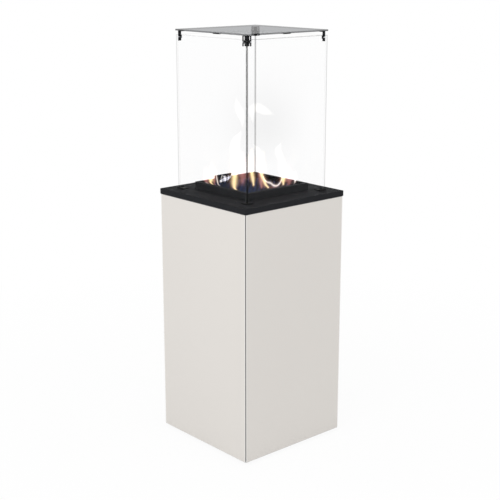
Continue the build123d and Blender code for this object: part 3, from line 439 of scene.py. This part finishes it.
def closed_piece(name, grids, finish, body="root", glows=None):
    """One piece of several closed skins. Each is a grid of points (rows, columns, 3) whose last column
    joins the first. Its end rows are each a single point, or the same ring."""
    points, faces, start = [], [], 0
    for grid in grids:
        count = grid.shape[0] * grid.shape[1]
        faces.append(grid_faces(start + np.arange(count).reshape(grid.shape[:2]), True))
        points.append(grid.reshape(-1, 3))
        start += count
    light = None if glows is None else np.concatenate([glow.reshape(-1, 3) for glow in glows])
    mesh = grid_mesh(name, np.concatenate(points), np.concatenate(faces), light)
    work = bmesh.new()
    work.from_mesh(mesh)
    bmesh.ops.remove_doubles(work, verts=work.verts, dist=1e-6)
    work.to_mesh(mesh)
    work.free()
    piece = as_piece(name, mesh, finish, body)
    mesh.set_sharp_from_angle(angle=math.radians(38))
    return piece


def eased(values):
    """Goes from 0 to 1 with a level start and end, as 3t^2 - 2t^3 does."""
    t = np.clip(values, 0.0, 1.0)
    return t * t * (3 - 2 * t)


def through(stops, count):
    """Rows along a smooth line through the stops, as many as count. Each stop is a row of numbers. Between
    two stops the values follow a cubic whose slope at a stop is half the step between its neighbours."""
    stops = np.asarray(stops, float)
    slope = np.gradient(stops, axis=0)
    place_on = np.linspace(0, len(stops) - 1, count)
    first = np.minimum(place_on.astype(int), len(stops) - 2)
    t = (place_on - first)[:, None]
    from_start = stops[first] * (1 + 2 * t) + slope[first] * t
    from_end = stops[first + 1] * (3 - 2 * t) + slope[first + 1] * (t - 1)
    return from_start * (1 - t) ** 2 + from_end * t * t


# Flames

# The curtains of flame, in millimetres: how far their sides stand from the axis above the rim and at
# their foot, the height in which they swell from one to the other, their own height, and how much of it
# fades away at the top
flame_wall, flame_foot, flame_swell = 108, 97, 14
curtain_height, curtain_fade = 104, 24

# Tints of the gas flames: the heart of a tongue and the halo round it, as light of full strength 1
yellow_heat = (np.array([1.10, 0.88, 0.47]), np.array([0.115, 0.046, 0.024]))
red_heat = (np.array([0.29, 0.118, 0.098]), np.array([0.017, 0.008, 0.018]))
white_heat = (np.array([0.85, 0.79, 0.74]), np.array([0.10, 0.050, 0.040]))
ember_heat = (np.array([0.10, 0.040, 0.025]), np.array([0.02, 0.010, 0.010]))
blue_heat = (np.array([0.002, 0.005, 0.018]), np.array([0.001, 0.002, 0.004]))
pilot_heat = (np.array([0.62, 0.62, 0.70]), np.array([0.05, 0.050, 0.070]))

# Tongues of the curtain that burns along two sides of the burner. Each is a tint, a half width and a
# line from its foot to its tip: how far past the corner (minus along the one side, plus along the
# other) and how far above the burner, all in millimetres.
front_tongues = [
    (red_heat, 10.0, [(-203, 8), (-203, 20), (-205, 50)]),
    (white_heat, 2.4, [(-192, 5), (-207, 5), (-219, 8), (-214, 20)]),
    (yellow_heat, 10.0, [(-180, 4), (-179, 24), (-175, 40), (-171, 66)]),
    (red_heat, 5.0, [(-163, 5), (-161, 30), (-165, 58)]),
    (white_heat, 2.6, [(-140, 5), (-145, 19), (-150, 35), (-157, 62)]),
    (yellow_heat, 12.0, [(-62, 6), (-66, 21), (-65, 40), (-63, 57), (-58, 88)]),
    (red_heat, 22.0, [(-28, 42), (-26, 56), (-24, 72), (-28, 96)]),
    (blue_heat, 17.0, [(-52, 20), (-11, 9)]),
    (yellow_heat, 7.0, [(21, 30), (19, 44), (16, 58), (14, 72), (13, 96)]),
    (blue_heat, 16.0, [(6, 13), (40, 14)]),
    (red_heat, 8.0, [(54, 18), (50, 40), (48, 58), (43, 72)]),
    (ember_heat, 10.0, [(66, 18), (56, 30), (52, 50)]),
    (yellow_heat, 5.5, [(82, 13), (71, 24), (64, 37), (56, 51), (48, 69), (41, 94)]),
    (white_heat, 3.0, [(60, 50), (66, 39), (77, 31), (91, 26), (102, 18), (116, 14), (128, 19),
                       (137, 31), (140, 46), (141, 62)]),
    (ember_heat, 5.0, [(84, 16), (100, 10), (118, 9), (133, 14)]),
    (yellow_heat, 8.0, [(145, 16), (145, 33), (149, 68)]),
    (red_heat, 17.0, [(170, 16), (170, 30), (171, 58)]),
    (white_heat, 3.4, [(194, 12), (197, 24), (196, 48)]),
]
rear_tongues = [
    (white_heat, 3.0, [(-193, 4), (-195, 40)]),
    (red_heat, 16.0, [(-165, 6), (-167, 54)]),
    (yellow_heat, 9.0, [(-141, 4), (-145, 66)]),
    (yellow_heat, 8.0, [(-42, 4), (-38, 40), (-45, 84)]),
    (red_heat, 11.0, [(-25, 6), (-22, 76)]),
    (yellow_heat, 9.0, [(12, 4), (15, 50), (10, 90)]),
    (red_heat, 16.0, [(54, 6), (50, 80)]),
    (yellow_heat, 11.0, [(82, 4), (79, 40), (84, 86)]),
    (yellow_heat, 9.0, [(184, 3), (180, 60)]),
    (red_heat, 12.0, [(207, 6), (205, 50)]),
    (blue_heat, 16.0, [(100, 8), (160, 8)]),
]
pilot_strands = [
    (pilot_heat, 1.9, [(-46, 5), (-35, 9), (-21, 12), (-7, 15), (6, 19)]),
    (pilot_heat, 1.7, [(-45, 2), (-33, 4), (-19, 7), (-5, 12), (5, 17)]),
    (pilot_heat, 1.1, [(-30, 21), (-27, 14), (-25, 6), (-28, -1)]),
    (pilot_heat, 1.1, [(-15, 21), (-13, 15), (-14, 8), (-19, 0)]),
]


def from_line(across, up, line):
    """The least distance from each point to a line of straight runs, and how far along the line (0 to 1)
    its nearest point lies."""
    best = np.full(across.shape, np.inf)
    along = np.zeros(across.shape)
    runs = len(line) - 1
    for number, (start, end) in enumerate(zip(line[:-1], line[1:])):
        way = end - start
        t = np.clip(((across - start[0]) * way[0] + (up - start[1]) * way[1]) / (way @ way), 0, 1)
        gap = np.hypot(across - start[0] - t * way[0], up - start[1] - t * way[1])
        nearer = gap < best
        best = np.where(nearer, gap, best)
        along = np.where(nearer, (number + t) / runs, along)
    return best, along


def burning_lines(across, up, tongues):
    """The light of all tongues at each point. Each adds its heart times exp(-(gap / width)^2) and its
    halo with twice the width. A tongue is thin at its foot, full in its middle and thin at its tip."""
    glow = np.zeros((*across.shape, 3))
    for (heart, halo), width, stops in tongues:
        gap, along = from_line(across, up, through(stops, 4 * len(stops)))
        full = width * (0.45 + 0.55 * eased(along / 0.4)) * (1 - 0.5 * eased((along - 0.6) / 0.4))
        fade = (1 - 0.75 * eased((along - 0.65) / 0.35))[..., None]
        glow += heart * np.exp(-(gap / full) ** 2)[..., None] * fade
        glow += halo * np.exp(-(gap / (2 * full)) ** 2)[..., None] * fade
    return glow


def flame_curtain(name, turn, foot, tongues):
    """A curtain of gas flames along two sides of the burner, turned about the axis. Its distance from the
    axis eases from flame_foot to flame_wall over the height flame_swell, so that it stands on the tray's
    edge and bulges outwards above the rim. It brightens over the height foot."""
    half = np.linspace(0, 2 * flame_wall, 181)
    across, up = np.meshgrid(np.concatenate([-half[:0:-1], half]), np.linspace(0, curtain_height, 75))
    out = flame_foot + (flame_wall - flame_foot) * eased(up / flame_swell)
    reach = out * (np.abs(across) / flame_wall - 1)
    x = np.where(across > 0, reach, -out)
    y = np.where(across > 0, -out, reach)
    rise = eased(up / foot) * eased((curtain_height - up) / curtain_fade)
    glow = burning_lines(across, up, tongues) * rise[..., None]
    cosine, sine = math.cos(turn), math.sin(turn)
    points = [cosine * x - sine * y, sine * x + cosine * y, burner_top / mm + up]
    points = np.stack(points, axis=-1) * mm
    thin_sheet(name, points, "flame", glow)


def pilot_flame():
    """The pilot's small flame, strands that play from its hood to the sensor in front of the shield. The
    depth of its sheet is a sine of the distance across, 3 mm either way."""
    across, up = np.meshgrid(np.linspace(-52, 12, 90), np.linspace(-3, 24, 40))
    glow = burning_lines(across, up, pilot_strands)
    wave = pilot_front / mm - 1.5 + 3 * np.sin(across / 9)
    points = np.stack([across, wave, burner_top / mm + up], axis=-1) * mm
    thin_sheet("pilot_flame", points, "flame", glow)


flame_curtain("flame_curtain_front", turn=0.0, foot=8, tongues=front_tongues)
flame_curtain("flame_curtain_rear", turn=math.pi, foot=34, tongues=rear_tongues)
pilot_flame()

# Tall flames. Each stop is how far the flame leans to the right seen from the front corner, its height
# above the ground and its half width, in millimetres.
tall_heat = np.array([0.10, 0.095, 0.085])
tall_flames = {
    "tall_flame_left": [(-41, 850, 14), (-42, 880, 24), (-43, 912, 22), (-52, 941, 18), (-48, 969, 15),
                        (-36, 992, 5), (-32, 1003, 0.2)],
    "tall_flame_middle": [(36, 845, 10), (33, 875, 18), (27, 910, 12), (22, 935, 11), (13, 950, 5),
                          (3, 960, 0.2)],
    "tall_flame_right": [(100, 845, 8), (99, 875, 16), (93, 910, 11), (84, 938, 12), (90, 955, 4),
                         (93, 966, 0.2)],
    "flame_lick_left": [(-30, 998, 0.2), (-28, 1027, 5), (-34, 1054, 13), (-43, 1080, 10),
                        (-48, 1102, 0.2)],
    "flame_lick_right": [(6, 1016, 0.2), (3, 1040, 5), (3, 1066, 14), (20, 1073, 16), (44, 1062, 13),
                         (72, 1052, 0.3)],
}


def tall_flame(name, stops):
    """A leaf of flame: an oval carried along a smooth line, 0.55 as deep as it is wide. It brightens
    from its foot upwards and fades at its tip and towards its sides."""
    rows, columns = 40, 20
    line = through(stops, rows)
    angle = np.linspace(0, 2 * math.pi, columns, endpoint=False)
    way = np.gradient(line[:, :2], axis=0)
    way /= np.linalg.norm(way, axis=1)[:, None]
    width = np.maximum(line[:, 2:], 0.1)
    right = line[:, :1] + width * way[:, 1:] * np.cos(angle)
    up = line[:, 1:2] - width * way[:, :1] * np.cos(angle)
    deep = 0.55 * width * np.sin(angle)
    cosine, sine = math.cos(view_bearing), math.sin(view_bearing)
    rings = [cosine * right - sine * deep, sine * right + cosine * deep, up]
    rings = np.stack(rings, axis=-1) * mm
    ends = np.repeat(rings[[0, -1]].mean(axis=1, keepdims=True), columns, axis=1)
    share = np.linspace(0, 1, rows)[:, None]
    bright = eased(share / 0.35) * (1 - 0.6 * eased((share - 0.75) / 0.25))
    soft = 0.12 + 0.88 * np.sin(angle) ** 2
    glow = tall_heat * (bright * soft)[..., None]
    points = np.concatenate([ends[:1], rings, ends[1:]])
    glow = np.concatenate([glow[:1], glow, glow[-1:]])
    closed_piece(name, [points], "flame", glows=[glow])


for name, stops in tall_flames.items():
    tall_flame(name, stops)


def veil_sheet(name, turn, shift):
    """A standing sheet of painted grey veil above the burner, whose densest place is moved aside by shift.
    It dims by exp(-(distance / spread)^2), and not at all at its border. Its sizes are in millimetres."""
    half, low, high, middle = 205, 868, 1250, 1016
    spread_across, spread_above, spread_below = 98, 120, 95
    side_fade, foot_fade, top_fade = 60, 40, 60
    most = 0.088
    across, up = np.meshgrid(np.linspace(-half, half, 80), np.linspace(low, high, 70))
    spread_up = np.where(up > middle, spread_above, spread_below)
    dim = most * np.exp(-((across - shift) / spread_across) ** 2 - ((up - middle) / spread_up) ** 2)
    dim = dim * eased((half - np.abs(across)) / side_fade)
    dim = dim * eased((up - low) / foot_fade) * eased((high - up) / top_fade)
    tone = np.repeat((1 - dim)[..., None], 3, axis=-1)
    points = np.stack([math.cos(turn) * across, math.sin(turn) * across, up], axis=-1) * mm
    thin_sheet(name, points, "grey_veil", tone)


# Painted grey veil round the flames, in two crossing sheets
veil_sheet("grey_veil_across", turn=view_bearing, shift=39)
veil_sheet("grey_veil_along", turn=view_bearing + math.pi / 2, shift=0)


# Fittings


def aimed(points, centre, way):
    """Turns points made about +Z until +Z points along way, which is an axis, and moves their origin to
    the centre. Points and centre are in millimetres, the result is in metres."""
    way = np.asarray(way, float)
    aside = np.array([1.0, 0, 0]) if abs(way[2]) > 0.9 else np.array([0, 0, 1.0])
    first = np.cross(aside, way)
    second = np.cross(way, first)
    x, y, z = points[..., :1], points[..., 1:2], points[..., 2:]
    return (np.asarray(centre) + x * first + y * second + z * way) * mm


def lathed(profile, columns, shaped=None):
    """A profile of (radius, height) rows from its foot to its top, carried round +Z. Shaped(radius, angle)
    may give the radius another value at each angle."""
    angle = np.linspace(0, 2 * math.pi, columns, endpoint=False)
    radius, height = (row[:, None] for row in np.asarray(profile, float).T)
    wide = radius + 0 * angle if shaped is None else shaped(radius, angle)
    return np.stack([wide * np.cos(angle), wide * np.sin(angle), height + 0 * angle], axis=-1)


def hexagon(flats, angle):
    """How far a hexagon reaches from its middle at an angle: half the width across its flats, divided by
    the cosine of the angle from the nearest flat's middle."""
    return flats / 2 / np.cos(np.mod(angle, math.pi / 3) - math.pi / 6)


def rounded_bar(half_width, half_length, low, high, edge):
    """A bar with full ends and a rounded top. Its plan is half_width * |cos|^0.55 and half_length *
    |sin|^0.85, narrowed in its middle for the fingers, and its top edge is a quarter circle."""
    angle = np.linspace(0, 2 * math.pi, 64, endpoint=False)
    turn = np.linspace(0, math.pi / 2, 7)
    height = np.concatenate([[low, low], high - edge + edge * np.sin(turn), [high]])[:, None]
    inset = np.concatenate([[0, 0], edge * (1 - np.cos(turn)), [0]])[:, None]
    full = np.concatenate([[0, 1], np.ones(7), [0]])[:, None]
    cosine, sine = np.cos(angle), np.sin(angle)
    waist = 1 - 0.16 * (1 - np.abs(sine))
    x = full * (half_width - inset) * np.sign(cosine) * np.abs(cosine) ** 0.55 * waist
    y = full * (half_length - inset) * np.sign(sine) * np.abs(sine) ** 0.85
    return np.stack([x, y, height + 0 * angle], axis=-1)


def hex_nut(flats, length):
    """A hexagon nut with its corners turned off at both ends: a turned profile whose radius is kept within
    the hexagon."""
    corner = flats / math.sqrt(3)
    round_off = 0.06 * flats
    rows = [(0, 0), (flats / 2, 0), (corner, round_off), (corner, length - round_off), (flats / 2, length),
            (0, length)]

    def six_sided(radius, angle):
        return np.minimum(radius, hexagon(flats, angle))

    return lathed(rows, 48, six_sided)


def socket_head(radius):
    """A round screw head with a hexagon socket. The two rows of the socket's wall become hexagons."""
    key, mouth, socket, floor = 0.9 * radius, 0.6 * radius, 0.599 * radius, 0.3 * radius
    rows = [(0, 0), (radius, 0), (radius, 0.35 * radius), (0.82 * radius, 0.62 * radius),
            (mouth, 0.68 * radius), (socket, 0.67 * radius), (socket, floor), (0, floor)]

    def shaped(wide, angle):
        return np.where(wide == socket, np.minimum(wide, hexagon(key, angle)), wide + 0 * angle)

    return lathed(rows, 36, shaped)


def crimped_sleeve(radius, length):
    """A sleeve pressed on a hose in grooves: its radius dips by a tenth where the cosine is below 0."""
    along = np.linspace(0, 1, 40)
    waves = 3.5
    groove = 0.1 * np.clip(-np.cos(2 * math.pi * waves * along), 0, 1) ** 2
    wide = radius * (1 - groove)
    rows = [(0, 0), (0.9 * radius, 0), *zip(wide, along * length), (0.9 * radius, length), (0, length)]
    return lathed(rows, 40)


def weld_bead(radius, height):
    """A ring of weld whose surface ripples: an oval section that grows and shrinks round the shell with
    the cosine of the angle times the number of ripples."""
    ripples = 150
    half_thick, half_high = 0.72, 2.34
    turn = np.linspace(0, 2 * math.pi, 9)[:, None]
    angle = np.linspace(0, 2 * math.pi, 3 * ripples, endpoint=False)
    swell = 1 + 0.18 * np.cos(ripples * angle)
    wide = radius + half_thick * swell * np.cos(turn)
    up = height + half_high * swell * np.sin(turn)
    return np.stack([wide * np.cos(angle), wide * np.sin(angle), up + 0 * angle], axis=-1)


def corners(node):
    """A node's lowest and highest corners, in millimetres."""
    low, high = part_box(node)
    return np.array(low) / mm, np.array(high) / mm


to_left, to_right, to_door = (-1, 0, 0), (1, 0, 0), (0, 1, 0)
upwards, downwards = (0, 0, 1), (0, 0, -1)

knob_low, knob_high = corners("knob")
knob_middle = (knob_low + knob_high) / 2
knob_radius = knob_middle[0] - knob_low[0]
knob_height = knob_high[1] - knob_low[1]
knob_foot = (knob_middle[0], knob_low[1], knob_middle[2])
skirt_height = 7.0


def knob_skirt():
    """The knob's round foot. Its rim is fluted: it dips with the cosine of the angle times the number of
    flutes."""
    flutes, flute_depth = 36, 0.4
    rim, top = knob_radius, skirt_height
    rows = [(0, 0), (rim, 0), (rim, 0.55 * top), (rim - 0.6, 0.8 * top), (rim - 2.2, top),
            (0.5 * rim, 1.06 * top), (0, 1.06 * top)]

    def fluted(radius, angle):
        return radius - flute_depth * (radius > 0.9 * rim) * (0.5 - 0.5 * np.cos(flutes * angle))

    return lathed(rows, 8 * flutes, fluted)


grip = rounded_bar(half_width=6.2, half_length=knob_radius - 1.6, low=0.8 * skirt_height,
                   high=knob_height, edge=2.2)
knob = closed_piece("tap_knob", [aimed(knob_skirt(), knob_foot, to_door), aimed(grip, knob_foot, to_door)],
                    "black_plastic", "knob")
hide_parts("knob")
pointer = rounded_bar(half_width=0.9, half_length=6.5, low=-0.5, high=0.25, edge=0.2)
pointer_foot = (knob_middle[0], knob_high[1] - 0.1, knob_middle[2] + 0.5 * knob_radius)
closed_piece("knob_pointer", [aimed(pointer, pointer_foot, to_door)], "white_print", "knob")

panel_face = corners("control_bracket")[1][1]
wedge_gap, dot_gap, dot_radius = 4.0, 9.0, 1.1


def dial_wedge():
    """A printed wedge round the knob that grows over the tap's half turn: a flat oval section whose first
    and last rows shrink to a point."""
    narrow, broad, half_thick = 0.4, 2.2, 0.12
    angle = np.linspace(0, math.pi, 60)[:, None]
    inner = (angle > 0) & (angle < math.pi)
    wide = (narrow + (broad - narrow) * angle / math.pi) * inner
    around = np.linspace(0, 2 * math.pi, 8, endpoint=False)
    reach = knob_radius + wedge_gap + wide * np.cos(around)
    rise = -half_thick * np.sin(around) * inner
    return np.stack([reach * np.cos(angle), reach * np.sin(angle), rise], axis=-1)


dial_place = (knob_middle[0], panel_face, knob_middle[2])
marks = [aimed(dial_wedge(), dial_place, to_door)]
for turn in (0, 45, 90, 135, 180):
    reach = knob_radius + dot_gap
    spot = (dial_place[0] + reach * math.cos(math.radians(turn)), panel_face - 0.2,
            dial_place[2] + reach * math.sin(math.radians(turn)))
    dot = lathed([(0, 0), (dot_radius, 0), (dot_radius, 0.3), (0, 0.3)], 16)
    marks.append(aimed(dot, spot, to_door))
closed_piece("dial_marks", marks, "white_print")

valve_low, valve_high = corners("gas_valve")
valve_middle = (valve_low + valve_high) / 2
screw_aside, screw_below, screw_radius = 19, 20, 2.8
screws = []
for side in (-1, 1):
    spot = (knob_middle[0] + screw_aside * side, panel_face, knob_middle[2] - screw_below)
    screws.append(aimed(socket_head(screw_radius), spot, to_door))
closed_piece("valve_screws", screws, "zinc")

wheel_low, wheel_high = corners("handwheel")
wheel_middle = (wheel_low + wheel_high) / 2
wheel_radius = wheel_middle[0] - wheel_low[0]
wheel_height = wheel_high[2] - wheel_low[2]


def valve_wheel():
    """The cylinder's handwheel, with a dished top and a cap. Its rim has hollows for the fingers: it
    shrinks by up to a share with the cosine of the angle times their number."""
    hollows, hollow_share = 6, 0.10
    rim, top = wheel_radius, wheel_height
    rows = [(0, 0), (rim - 3, 0), (rim - 1.2, 0.8), (rim, 2.6), (rim, top - 3.2), (rim - 1.0, top - 1.2),
            (rim - 3.2, top), (0.62 * rim, top), (0.54 * rim, top - 1.0), (0.5 * rim, top - 3.2),
            (0.30 * rim, top - 3.6), (0.26 * rim, top - 2.4), (0.22 * rim, top - 1.6), (0, top - 1.4)]

    def hollowed(radius, angle):
        return radius * (1 - hollow_share * (radius > 0.8 * rim) * (0.5 - 0.5 * np.cos(hollows * angle)))

    return lathed(rows, 160, hollowed)


wheel_foot = (wheel_middle[0], wheel_middle[1], wheel_low[2])
wheel = closed_piece("valve_handwheel", [aimed(valve_wheel(), wheel_foot, upwards)],
                     "black_plastic", "handwheel")
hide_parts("handwheel")

cylinder_low, cylinder_high = corners("gas_cylinder")
cylinder_middle = (cylinder_low + cylinder_high) / 2
shell_radius = cylinder_middle[0] - cylinder_low[0]
# The weld lies halfway up the shell
weld_height = 235.0
bead = weld_bead(shell_radius, weld_height)
cylinder_foot = (cylinder_middle[0], cylinder_middle[1], cylinder_low[2])
closed_piece("shell_weld", [aimed(bead, cylinder_foot, upwards)], "cylinder_paint")

regulator_low, regulator_high = corners("regulator")
nut_low, nut_high = corners("union_nut")
outlet_height = (nut_low[2] + nut_high[2]) / 2
regulator_radius = -regulator_low[0]
sleeve_radius, overlap, sunk = 8.6, 12, 1.0
hose_start = (regulator_high[0] - overlap, regulator_high[1] - regulator_radius, outlet_height)
hose_end = (valve_high[0] - sunk, valve_middle[1], knob_middle[2])
sleeves = [aimed(crimped_sleeve(sleeve_radius, length=28), hose_start, to_right),
           aimed(crimped_sleeve(sleeve_radius, length=17), hose_end, to_right)]
closed_piece("hose_sleeves", sleeves, "brass")

# Nuts at the ends of both copper pipes: the width across the flats, the length, the seat and the way each
# points. All but one are sunk a little into what they sit on.
pilot_pipe_radius = 2.0
injector_low = corners("injector")[0]
pilot_low, pilot_high = corners("pilot_burner")
pilot_middle = (pilot_low + pilot_high) / 2
pilot_port_x = corners("pilot_pipe")[1][0] - pilot_pipe_radius
nut_seats = [
    (15, 10, (valve_low[0] + sunk, valve_middle[1], knob_middle[2]), to_left),
    (15, 10, (0, 0, injector_low[2] + sunk), downwards),
    (9, 7, (pilot_port_x, valve_middle[1], valve_high[2]), upwards),
    (9, 7, (pilot_middle[0], pilot_middle[1], pilot_low[2] + sunk), downwards),
]
nuts = [aimed(hex_nut(flats, length), seat, way) for flats, length, seat, way in nut_seats]
closed_piece("pipe_nuts", nuts, "brass")


def bracket_fixings():
    """A socket head outside and a domed nut inside each finger of the four corner brackets, joined by
    the screw's shank. The shank and the nut are one profile, which runs inwards from the head's foot to
    the nut's tip. The nut's seat is measured from the top of the head."""
    low, high = corners("bracket_screws")
    height = (low[2] + high[2]) / 2
    screw_from_pane = 9.75
    head_radius, shank_radius, nut_radius = 2.4, 1.5, 2.6
    head_height = 0.68 * head_radius
    nut_seat, tip = 9.9, 10.7
    finger = corners("pane_right")[0][0] - screw_from_pane
    head_foot = high[0] - head_height
    nut_foot = nut_seat - head_height
    dome = [(0, 0), (shank_radius, 0), (shank_radius, nut_foot), (nut_radius, nut_foot),
            (nut_radius, tip - 1.4), (2.1, tip - 0.5), (1.2, tip - 0.1), (0, tip)]
    skins = []
    for along in (-finger, finger):
        for side in (-1, 1):
            for axis in (0, 1):
                way = np.zeros(3)
                way[axis] = side
                spot = np.array([along, along, height])
                spot[axis] = side * head_foot
                skins.append(aimed(socket_head(head_radius), spot, way))
                skins.append(aimed(lathed(dome, 24), spot, -way))
    return skins


fixings = closed_piece("bracket_fixings", bracket_fixings(), "zinc")
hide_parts("bracket_screws")


def plinth_shade_cord():
    """A dark cord round the rim's foot, a painted shadow line in the joint between the rim and the slab: a
    round cord laid in a square with rounded corners, whose reach at an angle t is
    (|cos t|^p + |sin t|^p)^(-1/p) of the half side."""
    cord_radius, power = 0.8, 40
    half = corners("burner_plinth")[1][0]
    angle = np.linspace(0, 2 * math.pi, 160, endpoint=False)
    reach = (np.abs(np.cos(angle)) ** power + np.abs(np.sin(angle)) ** power) ** (-1 / power)
    around = np.linspace(0, 2 * math.pi, 9)[:, None]
    out = half * reach + cord_radius * np.cos(around)
    up = corners("top_slab")[1][2] + cord_radius + cord_radius * np.sin(around)
    points = np.stack([out * np.cos(angle), out * np.sin(angle), up + 0 * angle], axis=-1) * mm
    # Painted shadow: a dark cord in the joint at the rim's foot
    closed_piece("plinth_shade_cord", [points], "pad_rubber")


plinth_shade_cord()


def port_flames():
    """A small blue flame on each of the burner's ports: a drop whose side follows a sine from its foot
    to its tip, and whose light fades upwards."""
    port_pitch, ports_across = 20.0, 9
    drop_radius, drop_height, sides = 2.6, 9.0, 8
    blue = np.array([0.003, 0.007, 0.026])
    across = (np.arange(ports_across) - (ports_across - 1) / 2) * port_pitch
    rise = np.linspace(0, 1, 6)
    skin = np.stack([drop_radius * np.sin(math.pi * (0.25 + 0.75 * rise)), drop_height * rise], axis=-1)
    drop = lathed([(0, 0), *skin], sides)
    fade = np.concatenate([[0.0], 1 - rise])
    light = blue * fade[:, None, None] * np.ones((len(fade), sides, 1))
    foot = corners("burner_plate")[1][2]
    skins = [aimed(drop, (x, y, foot), upwards) for x in across for y in across]
    closed_piece("port_flames", skins, "flame", glows=[light] * len(skins))


port_flames()


# Stage, light and camera


def seen_directly(tree):
    """1 where the camera sees a thing itself, or in a mirror or through glass, and 0 for its light."""
    path = put(tree, "ShaderNodeLightPath")
    mirrored = maths(tree, "MAXIMUM", path.outputs["Is Glossy Ray"], path.outputs["Is Transmission Ray"])
    return maths(tree, "MAXIMUM", path.outputs["Is Camera Ray"], mirrored)


def pale_floor():
    """A plain white floor that keeps a little of the object's shadow near its foot: the share of plain
    white grows with the distance from the object."""
    near, far = 0.3, 2.0
    white_near, white_far = 0.93, 1.0
    size = 9.0
    mesh = bpy.data.meshes.new("floor")
    rim = [(-size, -size, 0), (size, -size, 0), (size, size, 0), (-size, size, 0)]
    mesh.from_pydata(rim, [], [(0, 1, 2, 3)])
    floor = bpy.data.objects.new("floor", mesh)
    bpy.context.scene.collection.objects.link(floor)
    made, tree = started("floor")
    lit = put(tree, "ShaderNodeBsdfDiffuse", {"Color": grey(0.9)})
    white = put(tree, "ShaderNodeEmission", {"Color": grey(1.0), "Strength": 1.0})
    point = put(tree, "ShaderNodeTexCoord").outputs["Object"]
    away = put(tree, "ShaderNodeVectorMath", {0: point}, operation="LENGTH").outputs["Value"]
    share = spread(tree, away, white_near, white_far, near, far)
    shown = maths(tree, "MULTIPLY", seen_directly(tree), share)
    both = put(tree, "ShaderNodeMixShader", {0: shown, 1: lit.outputs[0], 2: white.outputs[0]})
    put(tree, "ShaderNodeOutputMaterial", {"Surface": both.outputs[0]})
    mesh.materials.append(made)


def white_room(ambient):
    """A white world: full white where it is seen or mirrored, and softer as light."""
    world = bpy.data.worlds.new("studio")
    bpy.context.scene.world = world
    world.use_nodes = True
    tree = world.node_tree
    tree.nodes.clear()
    strength = spread(tree, seen_directly(tree), ambient, 1.0)
    shade = put(tree, "ShaderNodeBackground", {"Color": grey(1.0), "Strength": strength})
    put(tree, "ShaderNodeOutputWorld", {"Surface": shade.outputs[0]})


def soft_lamp(name, position, aim, size, power):
    """A large square lamp that points at a place."""
    light = bpy.data.lights.new(name, "AREA")
    light.size = size
    light.energy = power
    lamp = bpy.data.objects.new(name, light)
    bpy.context.scene.collection.objects.link(lamp)
    lamp.location = position
    way = np.array(aim, float) - np.array(position, float)
    pitch = math.atan2(math.hypot(way[0], way[1]), -way[2])
    lamp.rotation_euler = (pitch, 0, math.atan2(way[1], way[0]) - math.pi / 2)


def camera():
    """The photograph's own view: its place, bearing and lens."""
    data = bpy.data.cameras.new("camera")
    data.lens = 78.75
    data.sensor_width = 36.0
    held = bpy.data.objects.new("camera", data)
    bpy.context.scene.collection.objects.link(held)
    held.location = (-2.2549, -2.5395, 1.5199)
    held.rotation_euler = (math.radians(75.094), 0, view_bearing)
    bpy.context.scene.camera = held


pale_floor()
white_room(ambient=0.75)
column_middle = (0, 0, 0.7)
soft_lamp("key", (-3.2, -1.0, 3.0), column_middle, size=2.4, power=55)
soft_lamp("fill", (0.8, -3.4, 2.2), column_middle, size=2.4, power=14)
camera()
bpy.context.scene.view_settings.view_transform = "Standard"
bpy.context.scene.cycles.transparent_max_bounces = 32
